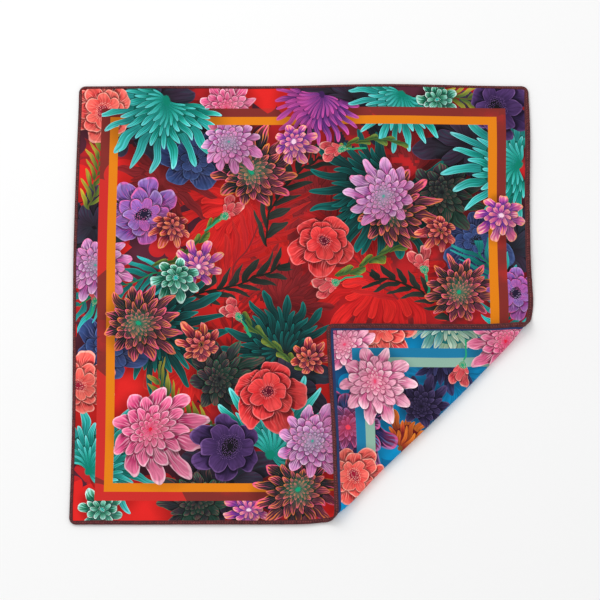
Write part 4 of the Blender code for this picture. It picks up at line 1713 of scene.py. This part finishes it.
@dataclass(frozen=True)
class HemStitches:
    """The row of lockstitches along the hem, on both faces."""

    hem: TurnedHem
    length: float = 0.0021
    radius: float = 0.00023
    pressed: float = 0.5  # how high a stitch is, as a share of how wide it is
    end: float = 0.96  # where its last ring is, as t
    slant: float = 0.00012  # how far its ends stray across the row at most
    slant_turn: float = 2.4  # from one stitch's slant to the next one's, in radians
    stand: float = 0.25  # how far its middle stands off the hem, in radii
    dip: float = 1.6  # how fast its ends dip into the hem
    rings: int = 6
    sides: int = 6
    name: str = "hem_stitches"

    def build(self) -> bpy.types.Object:
        """The stitches' mesh: each is a bent drop-shaped tube whose ends dip into the hem.

        Along a stitch t goes from -1 to 1. Its thickness is radius times sqrt(1 - t to the fourth),
        and its middle stands off the hem by stand radii times (1 - dip times t to the fourth). It
        lies slantwise by slant times t times sin(slant_turn times its number).

        Returns:
            The stitches as one mesh.
        """
        cloth = self.hem.cloth
        whole = 4 * cloth.side
        count = int(round(whole / self.hem.stitch_pitch))
        t = np.linspace(-self.end, self.end, self.rings)
        turn = np.arange(self.sides) / self.sides * 2 * math.pi
        thick = self.radius * np.sqrt(1.0 - t**4)
        face, stitch, ring, side = np.meshgrid((-1, 1), np.arange(count), np.arange(self.rings),
                                               np.arange(self.sides), indexing="ij")
        start = (stitch + 0.5) / count
        lean = self.slant * np.sin(stitch * self.slant_turn)
        along = (start + t[ring] * self.length / 2 / whole) % 1.0
        line = self.hem.stitch_share * self.hem.width(along)
        inset = line + lean * t[ring] + thick[ring] * np.cos(turn[side])
        u, v = self.hem.perimeter(inset.ravel(), along.ravel())
        front = -cloth.layer / 2 + self.hem.front_skin + self.hem.pucker
        reverse = cloth.layer / 2 + cloth.hem_extra - self.hem.off_floor - self.hem.pucker
        surface = np.where(face < 0, front, reverse)
        off_hem = self.radius * self.stand * (1.0 - self.dip * t[ring] ** 4)
        level = surface + face * (off_hem + self.pressed * thick[ring] * np.sin(turn[side]))
        normal = cloth.towards_reverse(u, v)
        points = cloth.place(u, v) + normal * level.ravel()[:, None]
        faces = self.faces(count)
        stitches = mesh_object(self.name, points, faces)
        mapped = np.stack([along.ravel() * whole, inset.ravel()], axis=-1)[faces]
        stitches.data.uv_layers.new(name="flat").data.foreach_set("uv", mapped.ravel())
        return stitches

    def faces(self, count: int) -> Array:
        """The faces of all stitches, first of those on the front and then of those on the reverse.

        A stitch on the reverse mirrors one on the front, so its faces are walked the other way.

        Args:
            count: How many stitches there are on a face of the cloth.

        Returns:
            One row of four point numbers for each face.
        """
        one = np.concatenate([grid_faces(self.rings, self.sides, round_columns=True), self.cap_faces()])
        number = np.arange(2 * count)[:, None, None]
        walked = np.where(number < count, one, one[:, ::-1])
        return (walked + number * self.rings * self.sides).reshape(-1, 4)

    def cap_faces(self) -> Array:
        """The two six-sided ends of a tube, each closed with two faces that share its diagonal."""
        halves = np.array([[0, 1, 2, 3], [0, 3, 4, 5]])
        return np.concatenate([halves[:, ::-1], halves + (self.rings - 1) * self.sides])


@dataclass(frozen=True)
class Studio:
    """The plain pale floor, the soft light and the camera at the photograph's angle."""

    elevation: float = 73.0  # of the camera, in degrees
    distance: float = 3.4
    width_seen: float = 0.655
    aim_x: float = -0.0035
    aim_y: float = 0.0004
    sensor: float = 36.0  # in millimetres
    floor_size: float = 8.0
    floor_colour: Colour = (0.96, 0.96, 0.96, 1.0)
    floor_gloss: Gloss = Gloss(0.9, 0.1)
    surround: Colour = (1.0, 1.0, 1.0, 1.0)
    surround_strength: float = 0.82
    lamp_size: float = 1.6
    lamp_watts: float = 17.0
    lamp_place: tuple[float, float, float] = (-1.1, 1.3, 1.9)

    def floor(self) -> None:
        """A wide pale plane under the cloth."""
        half = self.floor_size / 2
        corners = np.array([(-half, -half, 0), (half, -half, 0), (half, half, 0), (-half, half, 0)])
        floor = mesh_object("floor", corners, np.array([[0, 1, 2, 3]]))
        material = bare_material("floor_white", self.floor_gloss)
        shader = material.node_tree.nodes["Principled BSDF"]
        shader.inputs["Base Color"].default_value = self.floor_colour
        floor.data.materials.append(material)

    def lights(self) -> None:
        """An even white surround and one wide lamp above the far left."""
        world = bpy.data.worlds.new("studio")
        world.use_nodes = True
        background = world.node_tree.nodes["Background"]
        background.inputs["Color"].default_value = self.surround
        background.inputs["Strength"].default_value = self.surround_strength
        bpy.context.scene.world = world
        lamp = bpy.data.lights.new("wide_lamp", "AREA")
        lamp.shape = "DISK"
        lamp.size = self.lamp_size
        lamp.energy = self.lamp_watts
        piece = bpy.data.objects.new("wide_lamp", lamp)
        piece.location = self.lamp_place
        piece.rotation_euler = (Vector((0, 0, 0)) - piece.location).to_track_quat("-Z", "Y").to_euler()
        bpy.context.scene.collection.objects.link(piece)

    def camera(self) -> None:
        """A long lens, tilted from straight above as in the photograph."""
        data = bpy.data.cameras.new("camera")
        data.sensor_width = self.sensor
        data.lens = self.sensor * self.distance / self.width_seen
        camera = bpy.data.objects.new("camera", data)
        lean = math.radians(self.elevation)
        target = Vector((self.aim_x, self.aim_y, 0.0))
        camera.location = target + Vector((0.0, -math.cos(lean), math.sin(lean))) * self.distance
        camera.rotation_euler = (target - camera.location).to_track_quat("-Z", "Y").to_euler()
        bpy.context.scene.collection.objects.link(camera)
        bpy.context.scene.camera = camera

    def build(self) -> None:
        """Sets the whole studio, with plain colours in the picture."""
        self.floor()
        self.lights()
        self.camera()
        bpy.context.scene.view_settings.view_transform = "Standard"


def main() -> None:
    """Builds and dresses the cloth, its hem and its stitches, and sets the studio."""
    logging.basicConfig(level=logging.INFO, format="%(name)s: %(message)s")
    cloth = LaidCloth()
    hem_maker = TurnedHem(cloth)
    sheet = PrintedSheet(cloth).build()
    sheet.data.materials.append(PrintedSatin().build())
    hem = hem_maker.build()
    hem.data.materials.append(HEM_SATIN.build())
    stitches = HemStitches(hem_maker).build()
    stitches.data.materials.append(HEM_THREAD.build())
    for piece, slot in ((sheet, "printed_satin"), (hem, "hem_satin"), (stitches, "hem_thread")):
        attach(piece, BODY)
        triangles = sum(len(face.vertices) - 2 for face in piece.data.polygons)
        LOG.info("%s: %d triangles", piece.name, triangles)
    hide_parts(NODE)
    Studio().build()


if __name__ == "__main__":
    main()
